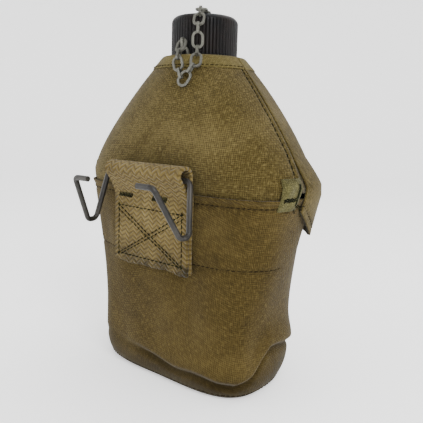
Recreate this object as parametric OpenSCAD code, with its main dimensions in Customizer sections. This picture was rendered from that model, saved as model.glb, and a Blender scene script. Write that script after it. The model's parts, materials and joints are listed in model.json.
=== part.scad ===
// Belt canteen: a flat metal bottle in a padded canvas cover, with a screw cap on a
// safety chain and a wire double hook in a webbing tab.
// +Z runs up the neck, the origin is the middle of the base, and the belt side faces -Y.

/* [Cover] */
// Half the width of the cover at its shoulders
cover_half_w = 74.5; // [64:0.5:90]
// Half the width of the cover near its base
base_half_w = 58.5; // [48:0.5:64]
// Depth from the middle to the belt side
back_depth = 42; // [38:0.5:51]
// Depth from the middle to the front
front_depth = 46; // [38:0.5:56]
// How far the two sides bend towards the belt side
belt_bend = 11.4; // [4:0.2:14]
// Height where the straight base starts to widen
taper_z = 40; // [30:1:50]
// Height of the shoulders, the widest place
shoulder_z = 118; // [98:1:142]
// Height from the shoulders to the collar's top edge
shoulder_rise = 67; // [60:1:81]
// Half-width of the collar round the cap
collar_r = 24.8; // [24.6:0.1:30]
// Height of the rounded bottom corner
corner_h = 16; // [12:1:20]
// How far the bottom corner curves in
corner_in = 8.5; // [6:0.5:11]
// Thickness of the canvas
canvas_t = 1.2; // [0.8:0.1:1.5]
// Thickness of the felt lining
felt_t = 2.5; // [2:0.1:3]
// Drop of the pocket's hem below the shoulders
hem_drop = 6; // [4:0.5:8]
// Drop of the back panel's sewn lower edge below the shoulders
back_seam_drop = 44; // [36:1:53]

/* [Flaps] */
// Room between the pocket and the flaps, for the snaps
flap_stand = 3; // [2.8:0.1:3.8]
// Drop of the flaps' lower edge below the shoulders
flap_drop = 31; // [26:1:37]
// Rise of the flaps' rounded lower corner at the sides
flap_corner = 19; // [14:1:22]
// Gap between the two flaps at the front
flap_gap = 0.6; // [0.5:0.1:2]

/* [Bottle] */
// Wall of the bottle
bottle_t = 1; // [0.8:0.1:1.4]
// Slack between the lining and the bottle
bottle_slack = 0.4; // [0.3:0.1:1]
// Height of the seam that joins the bottle's two halves
bottle_seam_z = 62; // [45:1:75]
// Radius of the spout that carries the neck
spout_r = 15; // [13.5:0.1:15.2]
// Height of the spout
spout_h = 4; // [3:0.5:6]

/* [Neck and cap] */
// Outer radius of the neck
neck_r = 15.8; // [15.6:0.1:16]
// Wall of the neck
neck_t = 1.7; // [1.2:0.1:2]
// Outer radius of the bead at the neck's foot
neck_bead_r = 17; // [16.6:0.1:17.6]
// Height of that bead
neck_bead_h = 6; // [5:0.5:7]
// Radius of the cap over its ribs
cap_r = 19; // [18.8:0.05:19.1]
// Height of the cap
cap_h = 25.7; // [23:0.1:31]
// Thickness of the cap's top
cap_top_t = 3; // [2.5:0.1:4]
// Inner radius of the cap
cap_bore_r = 16.9; // [16.8:0.05:17]
// Radius of the cap's rounded top edge
cap_round = 4; // [3:0.5:5]
// Depth of the grooves between the ribs
rib_depth = 0.55; // [0.3:0.05:0.7]
// Number of ribs round the cap
rib_count = 60; // [48:1:66]
// How far the cap sits down inside the collar
cap_sunk = 2.7; // [2:0.1:4]
// Rise of the thread in one turn
thread_pitch = 3.2; // [2.8:0.1:4]
// Height of a thread ridge above its wall
thread_depth = 0.85; // [0.6:0.05:0.9]
// Turns of thread on the neck and in the cap
thread_turns = 1; // [0.8:0.1:1.4]
// Thickness of the gasket
gasket_t = 1.8; // [1.4:0.1:2.4]

/* [Chain] */
// Length that one link adds to the chain
link_pitch = 12; // [11.8:0.05:12.2]
// Width of a link
link_w = 6.6; // [6:0.1:7]
// Width of the metal round a link's opening
link_bar = 1.3; // [1.1:0.1:1.4]
// Thickness of a link
link_t = 0.9; // [0.7:0.1:1]
// Thickness of the folded neck that joins a link to the one before it
link_fold_t = 0.3; // [0.2:0.05:0.4]
// Width of that folded neck
link_fold_w = 1.4; // [1.2:0.1:1.6]
// Room inside the folded neck, from its middle
link_fold_in = 1.22; // [1.2:0.01:1.28]
// Wire radius of the rings that hold the chain's ends
ring_wire_r = 0.8; // [0.6:0.05:0.9]

/* [Hook and tab] */
// Width of the webbing tab
tab_w = 57; // [50:0.5:60]
// Thickness of one layer of webbing
web_t = 2.3; // [1.8:0.1:2.6]
// Length of the tab below its loop
tab_drop = 52.5; // [44:0.5:60]
// Height of the loop's middle above the shoulders
loop_rise = 3.5; // [1:0.5:6]
// Distance of the loop's middle from the cover
loop_out = 7; // [6.5:0.1:8]
// Inner radius of the loop
loop_r = 3.5; // [3.3:0.1:4]
// Radius of the hook's wire
wire_r = 1.5; // [1.3:0.05:1.6]
// Radius of the bends in the wire
wire_bend_r = 3.2; // [2.8:0.1:3.6]
// Length of each hook's arm below the bar
hook_drop = 27; // [23:0.5:32]
// Reach of each hook in front of the bar
hook_reach = 24.5; // [21:0.5:29]
// Length of the tips that turn inwards
hook_tip = 11; // [9:0.5:13]

/* [Fasteners] */
// Distance of each snap from the middle
snap_x = 26; // [22:0.5:31]
// Rise of the snaps above the flaps' lower edge
snap_rise = 11; // [9:0.5:14]
// Radius of a snap's stud
stud_r = 2.6; // [2.2:0.1:3]
// Radius of a snap's flange
flange_r = 6.5; // [6.2:0.1:7.8]
// Radius of the hole in the drain eyelet
drain_r = 3; // [2.5:0.1:3.6]

/* [Hidden] */
$fn = 48;

// Small gap between layers that lie on each other
layer_gap = 0.15;
// Clearance of a pin that turns in its hole
pin_gap = 0.08;
// Room between solids that only pass each other
clear_gap = 0.3;
// Share of the bend that the middle of the section is moved back by
bend_share = 0.35;
// Roundness of the section: 2 is an ellipse, more is squarer
body_round = 2.4;
// Powers of the curves by which the section widens and closes
taper_power = 1.4;
shoulder_w_power = 1.3;
shoulder_d_power = 2.3;
bottle_w_power = 1.4;
bottle_d_power = 3;
// Points round a full section, and in one flap
section_n = 48;
flap_n = 14;
// Angle where a flap starts at its fold, and where its rounded corner ends
flap_start = 1.2;
flap_corner_angle = 35;
// Height above the shoulders where the flap lies level with the back panel
flap_settle = 14;
// Drop of the spout below the collar's top edge
spout_drop = 20;
// Where the tab's two layers meet below its loop, in outer loop radii
tab_close = 2.4;
// How far the hook's bar runs past the tab, and its tips are drawn in, at either end
bar_out = 1.2;
prong_in = 0.6;
tip_in = 1.5;
// Binding tape: its height outside and inside the collar, and its thickness
binding_h = 8;
binding_inner_h = 3;
binding_t = 0.4;
// Corner patch: height, thickness, and the angles before the ridge where it starts and ends
patch_h = 17;
patch_t = 0.8;
patch_angle = 24;
patch_end = 1.5;
// How far a bend's ends reach into the straight wire, and how much thinner it is
bend_lap = 3;
bend_thin = 0.02;
// Radius of the rivets through the canvas
rivet_r = 1.6;
// Cap swivel: radii of its pin, its head, the washer inside the cap, its eye and its ring
pin_r = 1.2;
pin_head_r = 3.4;
pin_head_t = 0.8;
pin_tail = 1.2;
washer_r = 4.5;
eye_r = 1.9;
swivel_ring_r = 2.8;
// Small ring that joins the chain to the ring round the neck: its radius and its wire
end_ring_r = 2.6;
end_wire_r = 0.6;
// How far the ring round the neck sits from the small ring's middle, inwards and down
end_ring_in = 0.8;
end_ring_drop = 0.3;
// Length of a link's folded neck beyond its ring
link_neck = 3.2;
// A link that heads back further than this share of straight back folds over the end of the ring
max_slant = 0.7;
// Direction of the chain from the cap, as an angle from the belt side
chain_turn = 32;
// How far a prong spreads sideways, leans out before its bend, and is wide across its bend
prong_spread = 4.8;
prong_lean = 5.5;
prong_width = 6;
// Direction and length by which a socket's mouth is stretched
slot_turn = 142;
slot_run = 1.6;
// Height of the button's dome, how far the stud's lip stands out, and the washer's radius
dome_h = 1.4;
stud_lip = 0.4;
washer_out_r = flange_r - 1.7;
// How far the drain eyelet's flange stands out past its hole
flange_out = 3;
// Thickness of the sheet metal in snaps and eyelets, and the drain eyelet's flange
plate_t = 0.6;
drain_flange_r = drain_r + flange_out;
// Place of the drain eyelet, midway between the belt side and the front
drain_y = (front_depth - back_depth) / 2 + bend_share * belt_bend;
// Half-heights of a thread ridge at its root and tip, and how deep it is rooted in the wall
ridge_half = 0.75;
ridge_tip = 0.3;
thread_root = 0.3;
// Level steps in one turn of thread
thread_steps = 10;
// Angle by which each step laps the next
step_lap = 2;

// Heights and insets worked out from the sizes above
collar_z = shoulder_z + shoulder_rise;
hem_z = shoulder_z - hem_drop;
back_seam_z = shoulder_z - back_seam_drop;
flap_low_z = shoulder_z - flap_drop;
panel_inset = canvas_t + layer_gap;
lining_inset = panel_inset + canvas_t + layer_gap;
bottle_inset = lining_inset + felt_t + bottle_slack;
cap_low_z = collar_z - cap_sunk;
cap_top_z = cap_low_z + cap_h;
cap_ceiling_z = cap_top_z - cap_top_t;
neck_top_z = cap_ceiling_z - gasket_t - 2 * layer_gap;
spout_z = collar_z - spout_drop;
neck_low_z = spout_z + layer_gap;
bottle_base_z = 2 * (canvas_t + layer_gap) + felt_t;
stud_top = flap_stand - plate_t - 2 * layer_gap;

eye_z = cap_top_z + layer_gap + pin_head_t + eye_r - ring_wire_r / 2;

// Where each link of the chain heads for: its angle round the neck from the belt side, its
// distance from the axis, and its height
chain_start = [chain_turn, 2 * swivel_ring_r, eye_z];
link_mid_r = (link_w - link_bar) / 2;
chain_stops = [
    [chain_turn, cap_r - 1.2, cap_top_z + 1.9],
    [chain_turn, cap_r + 6.2, cap_top_z - 7.8],
    [chain_turn, cap_r + 6.2, cap_top_z - 20],
    [chain_turn, collar_r + 7, collar_z - 7.4],
    [14.4, collar_r + 9.2, collar_z - 20.6],
    [11.6, collar_r + 4.3, collar_z - 5],
    [6.6, cap_r + 3.1, collar_z + 6.6],
    [8.6, cap_r + 0.9, collar_z - 5.5],
    [9.6, cap_r + 2.3, collar_z - 17]
];
last_link = link_place(len(chain_stops) - 1);
last_r = norm([last_link[1][0], last_link[1][1]]);
end_ring_z = last_link[1][2] + link_bar / 2 + end_wire_r + layer_gap - end_ring_r;

function mix(p, q, t) = p + (q - p) * t;
function share(z, low, high) = max(0, min(1, (z - low) / (high - low)));
function unit(v) = v / norm(v);

// Share of the way from the shoulders to the collar
function rise(z) = share(z, shoulder_z, collar_z);
// How far the rounded bottom corner draws the section in
function corner(z) = corner_in * (1 - sqrt(1 - pow(1 - share(z, 0, corner_h), 2)));
function width_below(z) = mix(base_half_w, cover_half_w, pow(share(z, taper_z, shoulder_z), taper_power));
function half_w(z) = mix(width_below(z), collar_r, pow(rise(z), shoulder_w_power)) - corner(z);
function half_d(depth, z) = mix(depth, collar_r, pow(rise(z), shoulder_d_power)) - corner(z);
function bend(z) = belt_bend * (1 - pow(rise(z), shoulder_w_power));
function roundness(z) = mix(body_round, 2, rise(z));

// One point of a section: half-width a, half-depth b, bend k, squareness e, at an angle
function kidney(a, b, k, e, angle, z) =
    let (c = cos(angle), s = sin(angle), x = a * sign(c) * pow(abs(c), 2 / e))
    [x, b * sign(s) * pow(abs(s), 2 / e) - k * (x * x / (a * a) - bend_share), z];

// A point of the cover at an angle from the right-hand ridge, a height and an inset
function skin(angle, z, inset) = kidney(
    half_w(z) - inset,
    half_d(sin(angle) < 0 ? back_depth : front_depth, z) - inset,
    bend(z), roundness(z), angle, z);
function section(z, inset) = [for (i = [0:section_n - 1]) skin(360 * i / section_n, z, inset)];

// The bottle follows the cover up to the shoulders and closes to the spout above them,
// where its bend fades out
function bottle_rise(z) = share(z, shoulder_z, spout_z);
function bottle_a(z) =
    mix(half_w(min(z, shoulder_z)) - bottle_inset, spout_r, pow(bottle_rise(z), bottle_w_power));
function bottle_b(depth, z) =
    mix(half_d(depth, min(z, shoulder_z)) - bottle_inset, spout_r, pow(bottle_rise(z), bottle_d_power));
function bottle_point(angle, z, inset) = kidney(
    bottle_a(z) - inset,
    bottle_b(sin(angle) < 0 ? back_depth : front_depth, z) - inset,
    bend(z) * (1 - pow(bottle_rise(z), bottle_d_power)), mix(body_round, 2, bottle_rise(z)), angle, z);
function bottle_ring(z, inset) = [for (i = [0:section_n - 1]) bottle_point(360 * i / section_n, z, inset)];

// Distance across at which the cover's surface stands, for a place x on one side
function skin_y(x, z, inset, side) =
    let (
        a = half_w(z) - inset,
        b = half_d(side < 0 ? back_depth : front_depth, z) - inset,
        e = roundness(z))
    side * b * pow(1 - pow(abs(x) / a, e), 1 / e) - bend(z) * (x * x / (a * a) - bend_share);

// Joins rings of points into one closed solid, with flat ends or as a closed loop
module loft(rings, looped = false) {
    n = len(rings[0]);
    m = len(rings);
    sides = [
        for (j = [0:looped ? m - 1 : m - 2]) for (i = [0:n - 1])
            [j * n + i, (j + 1) % m * n + i, (j + 1) % m * n + (i + 1) % n, j * n + (i + 1) % n]
    ];
    ends = looped ? [] : [[for (i = [0:n - 1]) i], [for (i = [0:n - 1]) m * n - 1 - i]];
    polyhedron(points = [for (ring = rings) for (p = ring) p], faces = concat(sides, ends));
}

// Joins rows of points, each out along one face and back along the other, into a thin sheet
module sheet(rows) {
    n = len(rows[0]);
    m = len(rows);
    sides = [
        for (j = [0:m - 2]) for (i = [0:n - 1])
            [j * n + i, (j + 1) * n + i, (j + 1) * n + (i + 1) % n, j * n + (i + 1) % n]
    ];
    low = [for (i = [0:n / 2 - 2]) [i, i + 1, n - 2 - i, n - 1 - i]];
    high = [for (face = low) [for (i = [3:-1:0]) (m - 1) * n + face[i]]];
    polyhedron(points = [for (row = rows) for (p = row) p], faces = concat(sides, low, high));
}

// Heights of the rings: close together where the section changes fast
function heights(low, high, count) = [for (i = [0:count]) mix(low, high, i / count)];
corner_heights = [0, 0.05, 0.2, 0.45, 1] * corner_h;

// An open-topped bag: up the outside, over the rim and down the inside
module bag(low_z, top_z, inset, wall, steps) {
    outside = [
        for (z = corner_heights) if (z < top_z) section(z, inset),
        for (z = heights(taper_z, top_z, steps)) section(z, inset)
    ];
    inside = [
        for (z = heights(top_z, taper_z, steps)) section(z, inset + wall),
        for (i = [4:-1:1]) section(corner_heights[i] + wall, inset + wall),
        section(wall, inset + wall)
    ];
    translate([0, 0, low_z]) loft(concat(outside, inside));
}

module drain_hole(radius) {
    translate([0, drain_y, -corner_h / 2]) cylinder(r = radius, h = corner_h);
}

// ---- The cover ----

// Where a snap sits on the cover, with +Z pointing straight out of the surface
module at_snap(inset) {
    z = flap_low_z + snap_rise;
    slope_x = skin_y(snap_x + stud_r, z, inset, 1) - skin_y(snap_x - stud_r, z, inset, 1);
    slope_z = skin_y(snap_x, z + stud_r, inset, 1) - skin_y(snap_x, z - stud_r, inset, 1);
    translate([snap_x, skin_y(snap_x, z, inset, 1), z])
        rotate([0, 0, atan2(slope_x, 2 * stud_r)])
            rotate([-90 - atan2(slope_z, 2 * stud_r), 0, 0]) children();
}

module both_sides() {
    children();
    mirror([1, 0, 0]) children();
}

module cover_pocket() {
    color("#6f5f3a") difference() {
        bag(0, hem_z, 0, canvas_t, 7);
        drain_hole(drain_r + plate_t + layer_gap);
        both_sides() at_snap(0)
            translate([0, 0, -canvas_t * 2]) cylinder(r = rivet_r + layer_gap, h = canvas_t * 3);
    }
}

module lining_pocket() {
    color("#8a8468") difference() {
        bag(panel_inset, hem_z - panel_inset - felt_t, lining_inset, felt_t, 6);
        drain_hole(drain_flange_r + layer_gap);
    }
}

// Heights of the rows from just above the hem up to the collar, shared by canvas and lining
lining_heights = concat([hem_z + felt_t], heights(shoulder_z, collar_z - binding_h, 9));
upper_heights = concat(lining_heights, [collar_z]);

// One row of a sheet: out along its outer face and back along its inner face
function sheet_row(angles, zs, outer, wall, shift) = let (n = len(angles) - 1) concat(
    [for (i = [0:n]) skin(angles[i], zs[i], outer[i]) + [shift * i / n, 0, 0]],
    [for (i = [n:-1:0]) skin(angles[i], zs[i], outer[i] + wall) + [shift * i / n, 0, 0]]);
function level(angles, z) = [for (angle = angles) z];

// A sheet over a range of angles, with level rows at the given heights
module panel(angles, rows, inset, wall) {
    sheet([for (z = rows) sheet_row(angles, level(angles, z), level(angles, inset), wall, 0)]);
}

function back_angles() = [for (i = [0:section_n / 2]) 180 + 360 * i / section_n];

module cover_back_panel() {
    color("#75653e") panel(
        back_angles(), concat(heights(back_seam_z, hem_z, 4), upper_heights), panel_inset, canvas_t);
}

module lining_back() {
    color("#8a8468") panel(back_angles(), lining_heights, lining_inset, felt_t);
}

// A flap runs from its fold at the ridge to the middle of the front
flap_angles = [for (i = [0:flap_n]) mix(flap_start, 90, i / flap_n)];
// The flap's lower edge rises in a round corner towards the fold
function flap_low(angle) = flap_low_z + flap_corner * pow(1 - share(angle, 0, flap_corner_angle), 2);
// Outside the hem the flap clears the pocket, and higher up it lies level with the back panel
function flap_inset(z) = mix(
    -canvas_t - flap_stand, panel_inset, share(z, hem_z, shoulder_z + flap_settle));
function flap_row(zs, depth, wall) =
    sheet_row(flap_angles, zs, [for (z = zs) flap_inset(z) + depth], wall, flap_gap);

module flap_right() {
    low_rows = [
        for (t = heights(0, 1, 4)) if (t < 1)
            [for (angle = flap_angles) mix(flap_low(angle), hem_z + felt_t, t)]
    ];
    color("#6f5f3a") difference() {
        sheet(concat(
            [for (zs = low_rows) flap_row(zs, 0, canvas_t)],
            [for (z = upper_heights) flap_row(level(flap_angles, z), 0, canvas_t)]));
        at_snap(0) translate([0, 0, flap_stand])
            cylinder(r = rivet_r + layer_gap, h = canvas_t * 4, center = true);
    }
}

module lining_flap_right() {
    color("#8a8468") sheet([
        for (z = lining_heights) flap_row(level(flap_angles, z), canvas_t + layer_gap, felt_t)
    ]);
}

// Tape folded over an edge, as a U-shaped section carried along the collar
module edge_tape(angles, shift) {
    n = len(angles) - 1;
    top = collar_z + layer_gap;
    outer = panel_inset - layer_gap;
    inner = panel_inset + canvas_t + layer_gap;
    loft([
        for (i = [n:-1:0]) [
            for (corner = [
                [collar_z - binding_h, outer - binding_t], [top + binding_t, outer - binding_t],
                [top + binding_t, inner + binding_t], [collar_z - binding_inner_h, inner + binding_t],
                [collar_z - binding_inner_h, inner], [top, inner],
                [top, outer], [collar_z - binding_h, outer]
            ]) skin(angles[i], corner[0], corner[1]) + [shift * i / n, 0, 0]
        ]
    ]);
}

module neck_binding() {
    color("#a08d5c") edge_tape(back_angles(), 0);
}

module flap_binding_right() {
    color("#a08d5c") edge_tape(flap_angles, flap_gap);
}

// A patch over the corner where hem and shoulder seam meet
module corner_patch_right() {
    low_z = hem_z - patch_h / 3;
    color("#5f5c3c") panel(
        [for (i = [0:5]) mix(360 - patch_angle, 360 - patch_end, i / 5)],
        heights(low_z, low_z + patch_h, 6), -layer_gap - patch_t, patch_t);
}

// ---- The bottle ----

module bottle_lower_shell() {
    outside = concat(
        [for (z = corner_heights) bottle_ring(z, 0)],
        [for (z = heights(taper_z, bottle_seam_z - bottle_base_z, 3)) bottle_ring(z, 0)]);
    inside = concat(
        [for (z = heights(bottle_seam_z - bottle_base_z, taper_z, 3)) bottle_ring(z, bottle_t)],
        [for (i = [4:-1:1]) bottle_ring(corner_heights[i] + bottle_t, bottle_t)],
        [bottle_ring(bottle_t, bottle_t)]);
    color("#9a9b98") translate([0, 0, bottle_base_z]) loft(concat(outside, inside));
}

module bottle_upper_shell() {
    low_z = bottle_seam_z;
    body = heights(low_z, shoulder_z, 4);
    dome = [for (t = [0.25, 0.5, 0.7, 0.85, 0.95, 1]) mix(shoulder_z, spout_z, t)];
    top_z = spout_z + spout_h;
    outside = concat(
        [for (z = body) lifted_ring(z, 0)], [for (z = dome) bottle_ring(z, 0)],
        [[for (p = bottle_ring(spout_z, 0)) [p[0], p[1], top_z]]]);
    inside = concat(
        [[for (p = bottle_ring(spout_z, bottle_t)) [p[0], p[1], top_z]]],
        [for (i = [5:-1:0]) bottle_ring(dome[i] - bottle_t / 2, bottle_t)],
        [for (i = [4:-1:0]) lifted_ring(body[i], bottle_t)]);
    color("#9a9b98") loft(concat(outside, inside), looped = true);
}
// The lower shell's sections sit higher by its base, so the upper shell starts from the same section
function lifted_ring(z, inset) = let (drop = bottle_base_z * (1 - share(z, bottle_seam_z, shoulder_z)))
    [for (p = bottle_ring(z - drop, inset)) [p[0], p[1], z]];

// A thread ridge that climbs round a wall in short level steps: out of the wall, or into it
module thread_ridge(wall_r, out, low_z) {
    step = 360 / thread_steps;
    for (i = [0:round(thread_turns * thread_steps) - 1])
        translate([0, 0, low_z + thread_pitch * i / thread_steps])
            rotate([0, 0, step * i]) rotate_extrude(angle = step + step_lap, $fn = 96) polygon([
                [wall_r - out * thread_root, -ridge_half], [wall_r + out * thread_depth, -ridge_tip],
                [wall_r + out * thread_depth, ridge_tip], [wall_r - out * thread_root, ridge_half]
            ]);
}

// ---- Neck and cap ----

neck_ridge_z = neck_top_z - 3 - thread_pitch * thread_turns;
cap_ridge_z = neck_ridge_z - thread_pitch / 2;
neck_bore_r = neck_r - neck_t;

module neck() {
    color("#a3a4a1") union() {
        difference() {
            union() {
                translate([0, 0, neck_low_z]) cylinder(r = neck_r, h = neck_top_z - neck_low_z);
                translate([0, 0, neck_low_z]) cylinder(r = neck_bead_r, h = neck_bead_h);
            }
            translate([0, 0, neck_low_z - 1]) cylinder(r = spout_r + layer_gap, h = spout_h + 1);
            translate([0, 0, neck_low_z]) cylinder(r = neck_bore_r, h = neck_top_z);
        }
        thread_ridge(neck_r, 1, neck_ridge_z);
    }
}

module wire_ring(radius, wire) {
    rotate_extrude() translate([radius, 0]) circle(r = wire, $fn = 24);
}

module neck_chain_ring() {
    color("#8d8c86") translate([0, 0, end_ring_z - end_ring_drop])
        wire_ring(last_r - end_ring_in, ring_wire_r);
}

// The small ring stands upright, through the last link and round the ring on the neck
module chain_end_ring() {
    color("#8d8c86") translate([last_link[1][0], last_link[1][1], end_ring_z])
        rotate([90, 0, atan2(last_link[1][1], last_link[1][0])]) wire_ring(end_ring_r, end_wire_r);
}

// The cap's outline: straight ribbed side and a rounded top edge
module cap_body(radius) {
    rotate_extrude() {
        square([radius, cap_h - cap_round]);
        square([radius - cap_round, cap_h]);
        translate([radius - cap_round, cap_h - cap_round]) circle(r = cap_round);
    }
}

module cap_shell() {
    color("#262524") translate([0, 0, cap_low_z]) union() {
        difference() {
            cap_body(cap_r);
            for (i = [0:rib_count - 1]) rotate([0, 0, 360 * i / rib_count])
                translate([cap_r - rib_depth, 0, -1])
                    rotate([0, 0, -45]) cube([rib_depth * 2, rib_depth * 2, cap_h + 2]);
            translate([0, 0, -1]) cylinder(r = cap_bore_r, h = cap_h - cap_top_t + 1);
            cylinder(r = pin_r + pin_gap, h = cap_h * 2);
        }
        thread_ridge(cap_bore_r, -1, cap_ridge_z - cap_low_z);
    }
}

module cap_gasket() {
    color("#4a3a2a") translate([0, 0, neck_top_z + layer_gap]) difference() {
        cylinder(r = cap_bore_r - clear_gap, h = gasket_t);
        translate([0, 0, -1]) cylinder(r = washer_r + clear_gap, h = gasket_t + 2);
    }
}

// A rivet through the cap that ends in an eye above it, so that the cap turns below the chain
module cap_swivel_pin() {
    color("#8d8c86") rotate([0, 0, chain_turn - 90]) union() {
        translate([0, 0, cap_ceiling_z - pin_tail])
            cylinder(r = pin_r, h = cap_top_t + pin_tail + pin_head_t);
        translate([0, 0, cap_top_z + layer_gap]) cylinder(r = pin_head_r, h = pin_head_t);
        translate([0, 0, eye_z]) rotate([90, 0, 0]) wire_ring(eye_r, ring_wire_r);
    }
}

module cap_pin_washer() {
    color("#8d8c86") translate([0, 0, cap_ceiling_z - layer_gap - plate_t]) difference() {
        cylinder(r = washer_r, h = plate_t);
        translate([0, 0, -1]) cylinder(r = pin_r, h = plate_t + 2);
    }
}

// ---- Chain ----

// The ring on the swivel's eye lies towards the chain
module cap_swivel_ring() {
    color("#9b9a94") rotate([0, 0, chain_turn - 90]) translate([swivel_ring_r, 0, eye_z])
        wire_ring(swivel_ring_r, ring_wire_r);
}

// A place beside the neck: azimuth from the belt side, distance from the axis, height
function round_neck(p) = [p[1] * sin(p[0]), -p[1] * cos(p[0]), p[2]];

function facing(turn) = [sin(turn[0]) * cos(turn[1]), -cos(turn[0]) * cos(turn[1]), sin(turn[1])];

// The place of a link: its neck, its ring's end and the way its flat face looks.
// Its folded neck sits on the round end of the link before it, on the side it heads for, and
// turns about the metal there, so its face follows from where it heads. One that heads back
// past the side slides up the ring's straight side a little
function link_place(k) = k == 0
    ? placed(
        round_neck(chain_start), round_neck(chain_stops[0]),
        cross(facing([chain_turn, 90]), facing([chain_turn, 0])))
    : let (
        before = link_place(k - 1),
        heading = unit(before[1] - before[0]),
        middle = before[1] - link_mid_r * heading,
        way = round_neck(chain_stops[k]) - middle,
        level_way = unit(way - (way * before[2]) * before[2]),
        slant = level_way * heading,
        sideways = slant <= 0 && slant > -max_slant,
        side = slant > 0 ? level_way : sideways ? unit(level_way - slant * heading) : heading,
        slide = sideways ? link_mid_r / 2 : 0)
    placed(
        middle + link_mid_r * side - slide * heading,
        round_neck(chain_stops[k]), cross(before[2], side));
function placed(neck, stop, bar_way) = let (heading = unit(stop - neck))
    [neck, neck + link_pitch * heading, unit(cross(heading, bar_way))];

module link_oval(low, high, radius) {
    translate([0, low + radius]) circle(r = radius, $fn = 32);
    translate([0, high - radius]) circle(r = radius, $fn = 32);
    translate([-radius, low + radius]) square([2 * radius, high - low - 2 * radius]);
}

// One link in its own frame: its ring's end at the origin, its folded neck up the +Z axis
module link() {
    fold_r = link_fold_in + link_fold_t;
    ring_top = link_pitch - link_neck;
    rotate([90, 0, 0]) linear_extrude(link_t, center = true) difference() {
        link_oval(-link_bar / 2, ring_top, link_w / 2);
        link_oval(link_bar / 2, ring_top - link_bar, link_w / 2 - link_bar);
    }
    rotate([90, 0, 90]) linear_extrude(link_fold_w, center = true) difference() {
        union() {
            translate([-fold_r, ring_top - link_bar]) square([2 * fold_r, link_neck + link_bar]);
            translate([0, link_pitch]) circle(r = fold_r, $fn = 32);
        }
        translate([-link_fold_in, ring_top]) square([2 * link_fold_in, link_neck]);
        translate([0, link_pitch]) circle(r = link_fold_in, $fn = 32);
    }
}

module chain_link(number) {
    place = link_place(number - 1);
    up = unit(place[0] - place[1]);
    face = place[2];
    across = cross(face, up);
    color("#8d8c86") multmatrix([
        [across[0], face[0], up[0], place[1][0]],
        [across[1], face[1], up[1], place[1][1]],
        [across[2], face[2], up[2], place[1][2]]
    ]) link();
}

// ---- Hook and tab ----

cover_back_y = -back_depth + bend_share * belt_bend;
bar_y = cover_back_y - loop_out;
loop_z = shoulder_z + loop_rise;
bar_z = loop_z - (loop_r - wire_r) + clear_gap;

module hook_tab() {
    back_y = cover_back_y - clear_gap;
    front_y = back_y - 2 * web_t;
    outer_r = loop_r + web_t;
    low_z = loop_z - tab_drop;
    neck_z = loop_z - outer_r * tab_close;
    color("#9c8a58") translate([-tab_w / 2, 0, 0]) rotate([90, 0, 90]) linear_extrude(tab_w) difference() {
        union() {
            translate([bar_y, loop_z]) circle(r = outer_r);
            polygon([
                [front_y, low_z], [back_y, low_z], [back_y, neck_z],
                [bar_y + outer_r, loop_z], [bar_y - outer_r, loop_z], [front_y, neck_z]
            ]);
        }
        translate([bar_y, loop_z]) circle(r = loop_r);
        polygon([[bar_y + loop_r, loop_z], [bar_y - loop_r, loop_z], [(front_y + back_y) / 2, neck_z]]);
    }
}

// A straight stretch of round wire
module rod(from, to, radius) {
    way = to - from;
    translate(from) rotate([0, acos(way[2] / norm(way)), atan2(way[1], way[0])])
        cylinder(r = radius, h = norm(way));
}

// How far from a corner of the wire its bend starts
function bend_reach(p, q, r) = let (turn = acos(unit(q - p) * unit(r - q))) wire_bend_r * tan(turn / 2);

// A round bend of the wire at the corner q between p and r
module elbow(p, q, r, radius) {
    along = unit(q - p);
    turn = acos(along * unit(r - q));
    axis = unit(cross(along, unit(r - q)));
    out = -cross(axis, along);
    middle = q - along * bend_reach(p, q, r) - out * wire_bend_r;
    multmatrix([
        [out[0], along[0], axis[0], middle[0]],
        [out[1], along[1], axis[1], middle[1]],
        [out[2], along[2], axis[2], middle[2]]
    ]) rotate([0, 0, -bend_lap]) rotate_extrude(angle = turn + 2 * bend_lap)
        translate([wire_bend_r, 0]) circle(r = radius - bend_thin, $fn = 24);
}

// One wire: corners joined by straight rods and round bends
module bent_wire(corners, radius) {
    last = len(corners) - 1;
    for (i = [0:last - 1]) {
        way = unit(corners[i + 1] - corners[i]);
        start = i == 0 ? 0 : bend_reach(corners[i - 1], corners[i], corners[i + 1]);
        stop = i == last - 1 ? 0 : bend_reach(corners[i], corners[i + 1], corners[i + 2]);
        rod(corners[i] + way * start, corners[i + 1] - way * stop, radius);
    }
    for (i = [1:last - 1]) elbow(corners[i - 1], corners[i], corners[i + 1], radius);
}

// The corners of one prong, from the middle of the bar to the tip
bar_end_x = tab_w / 2 + wire_r + bar_out;
prong = [
    [bar_end_x - wire_bend_r * 2, bar_y, bar_z],
    [bar_end_x, bar_y, bar_z],
    [bar_end_x + prong_spread, bar_y - prong_lean, bar_z - hook_drop],
    [bar_end_x + prong_spread - prong_in, bar_y - prong_lean - prong_width, bar_z - hook_drop],
    [bar_end_x - tip_in, bar_y - hook_reach, bar_z - tip_in],
    [bar_end_x - tip_in - hook_tip, bar_y - hook_reach, bar_z - tip_in]
];

module belt_hook() {
    color("#2e2d2b") union() {
        rod([-prong[0][0], bar_y, bar_z], prong[0], wire_r);
        both_sides() bent_wire(prong, wire_r);
    }
}

// ---- Fasteners ----

module stud_washer_right() {
    color("#6a5a34") at_snap(0) translate([0, 0, -canvas_t - clear_gap - plate_t]) difference() {
        cylinder(r = washer_out_r, h = plate_t);
        translate([0, 0, -plate_t]) cylinder(r = rivet_r, h = 3 * plate_t);
    }
}

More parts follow.
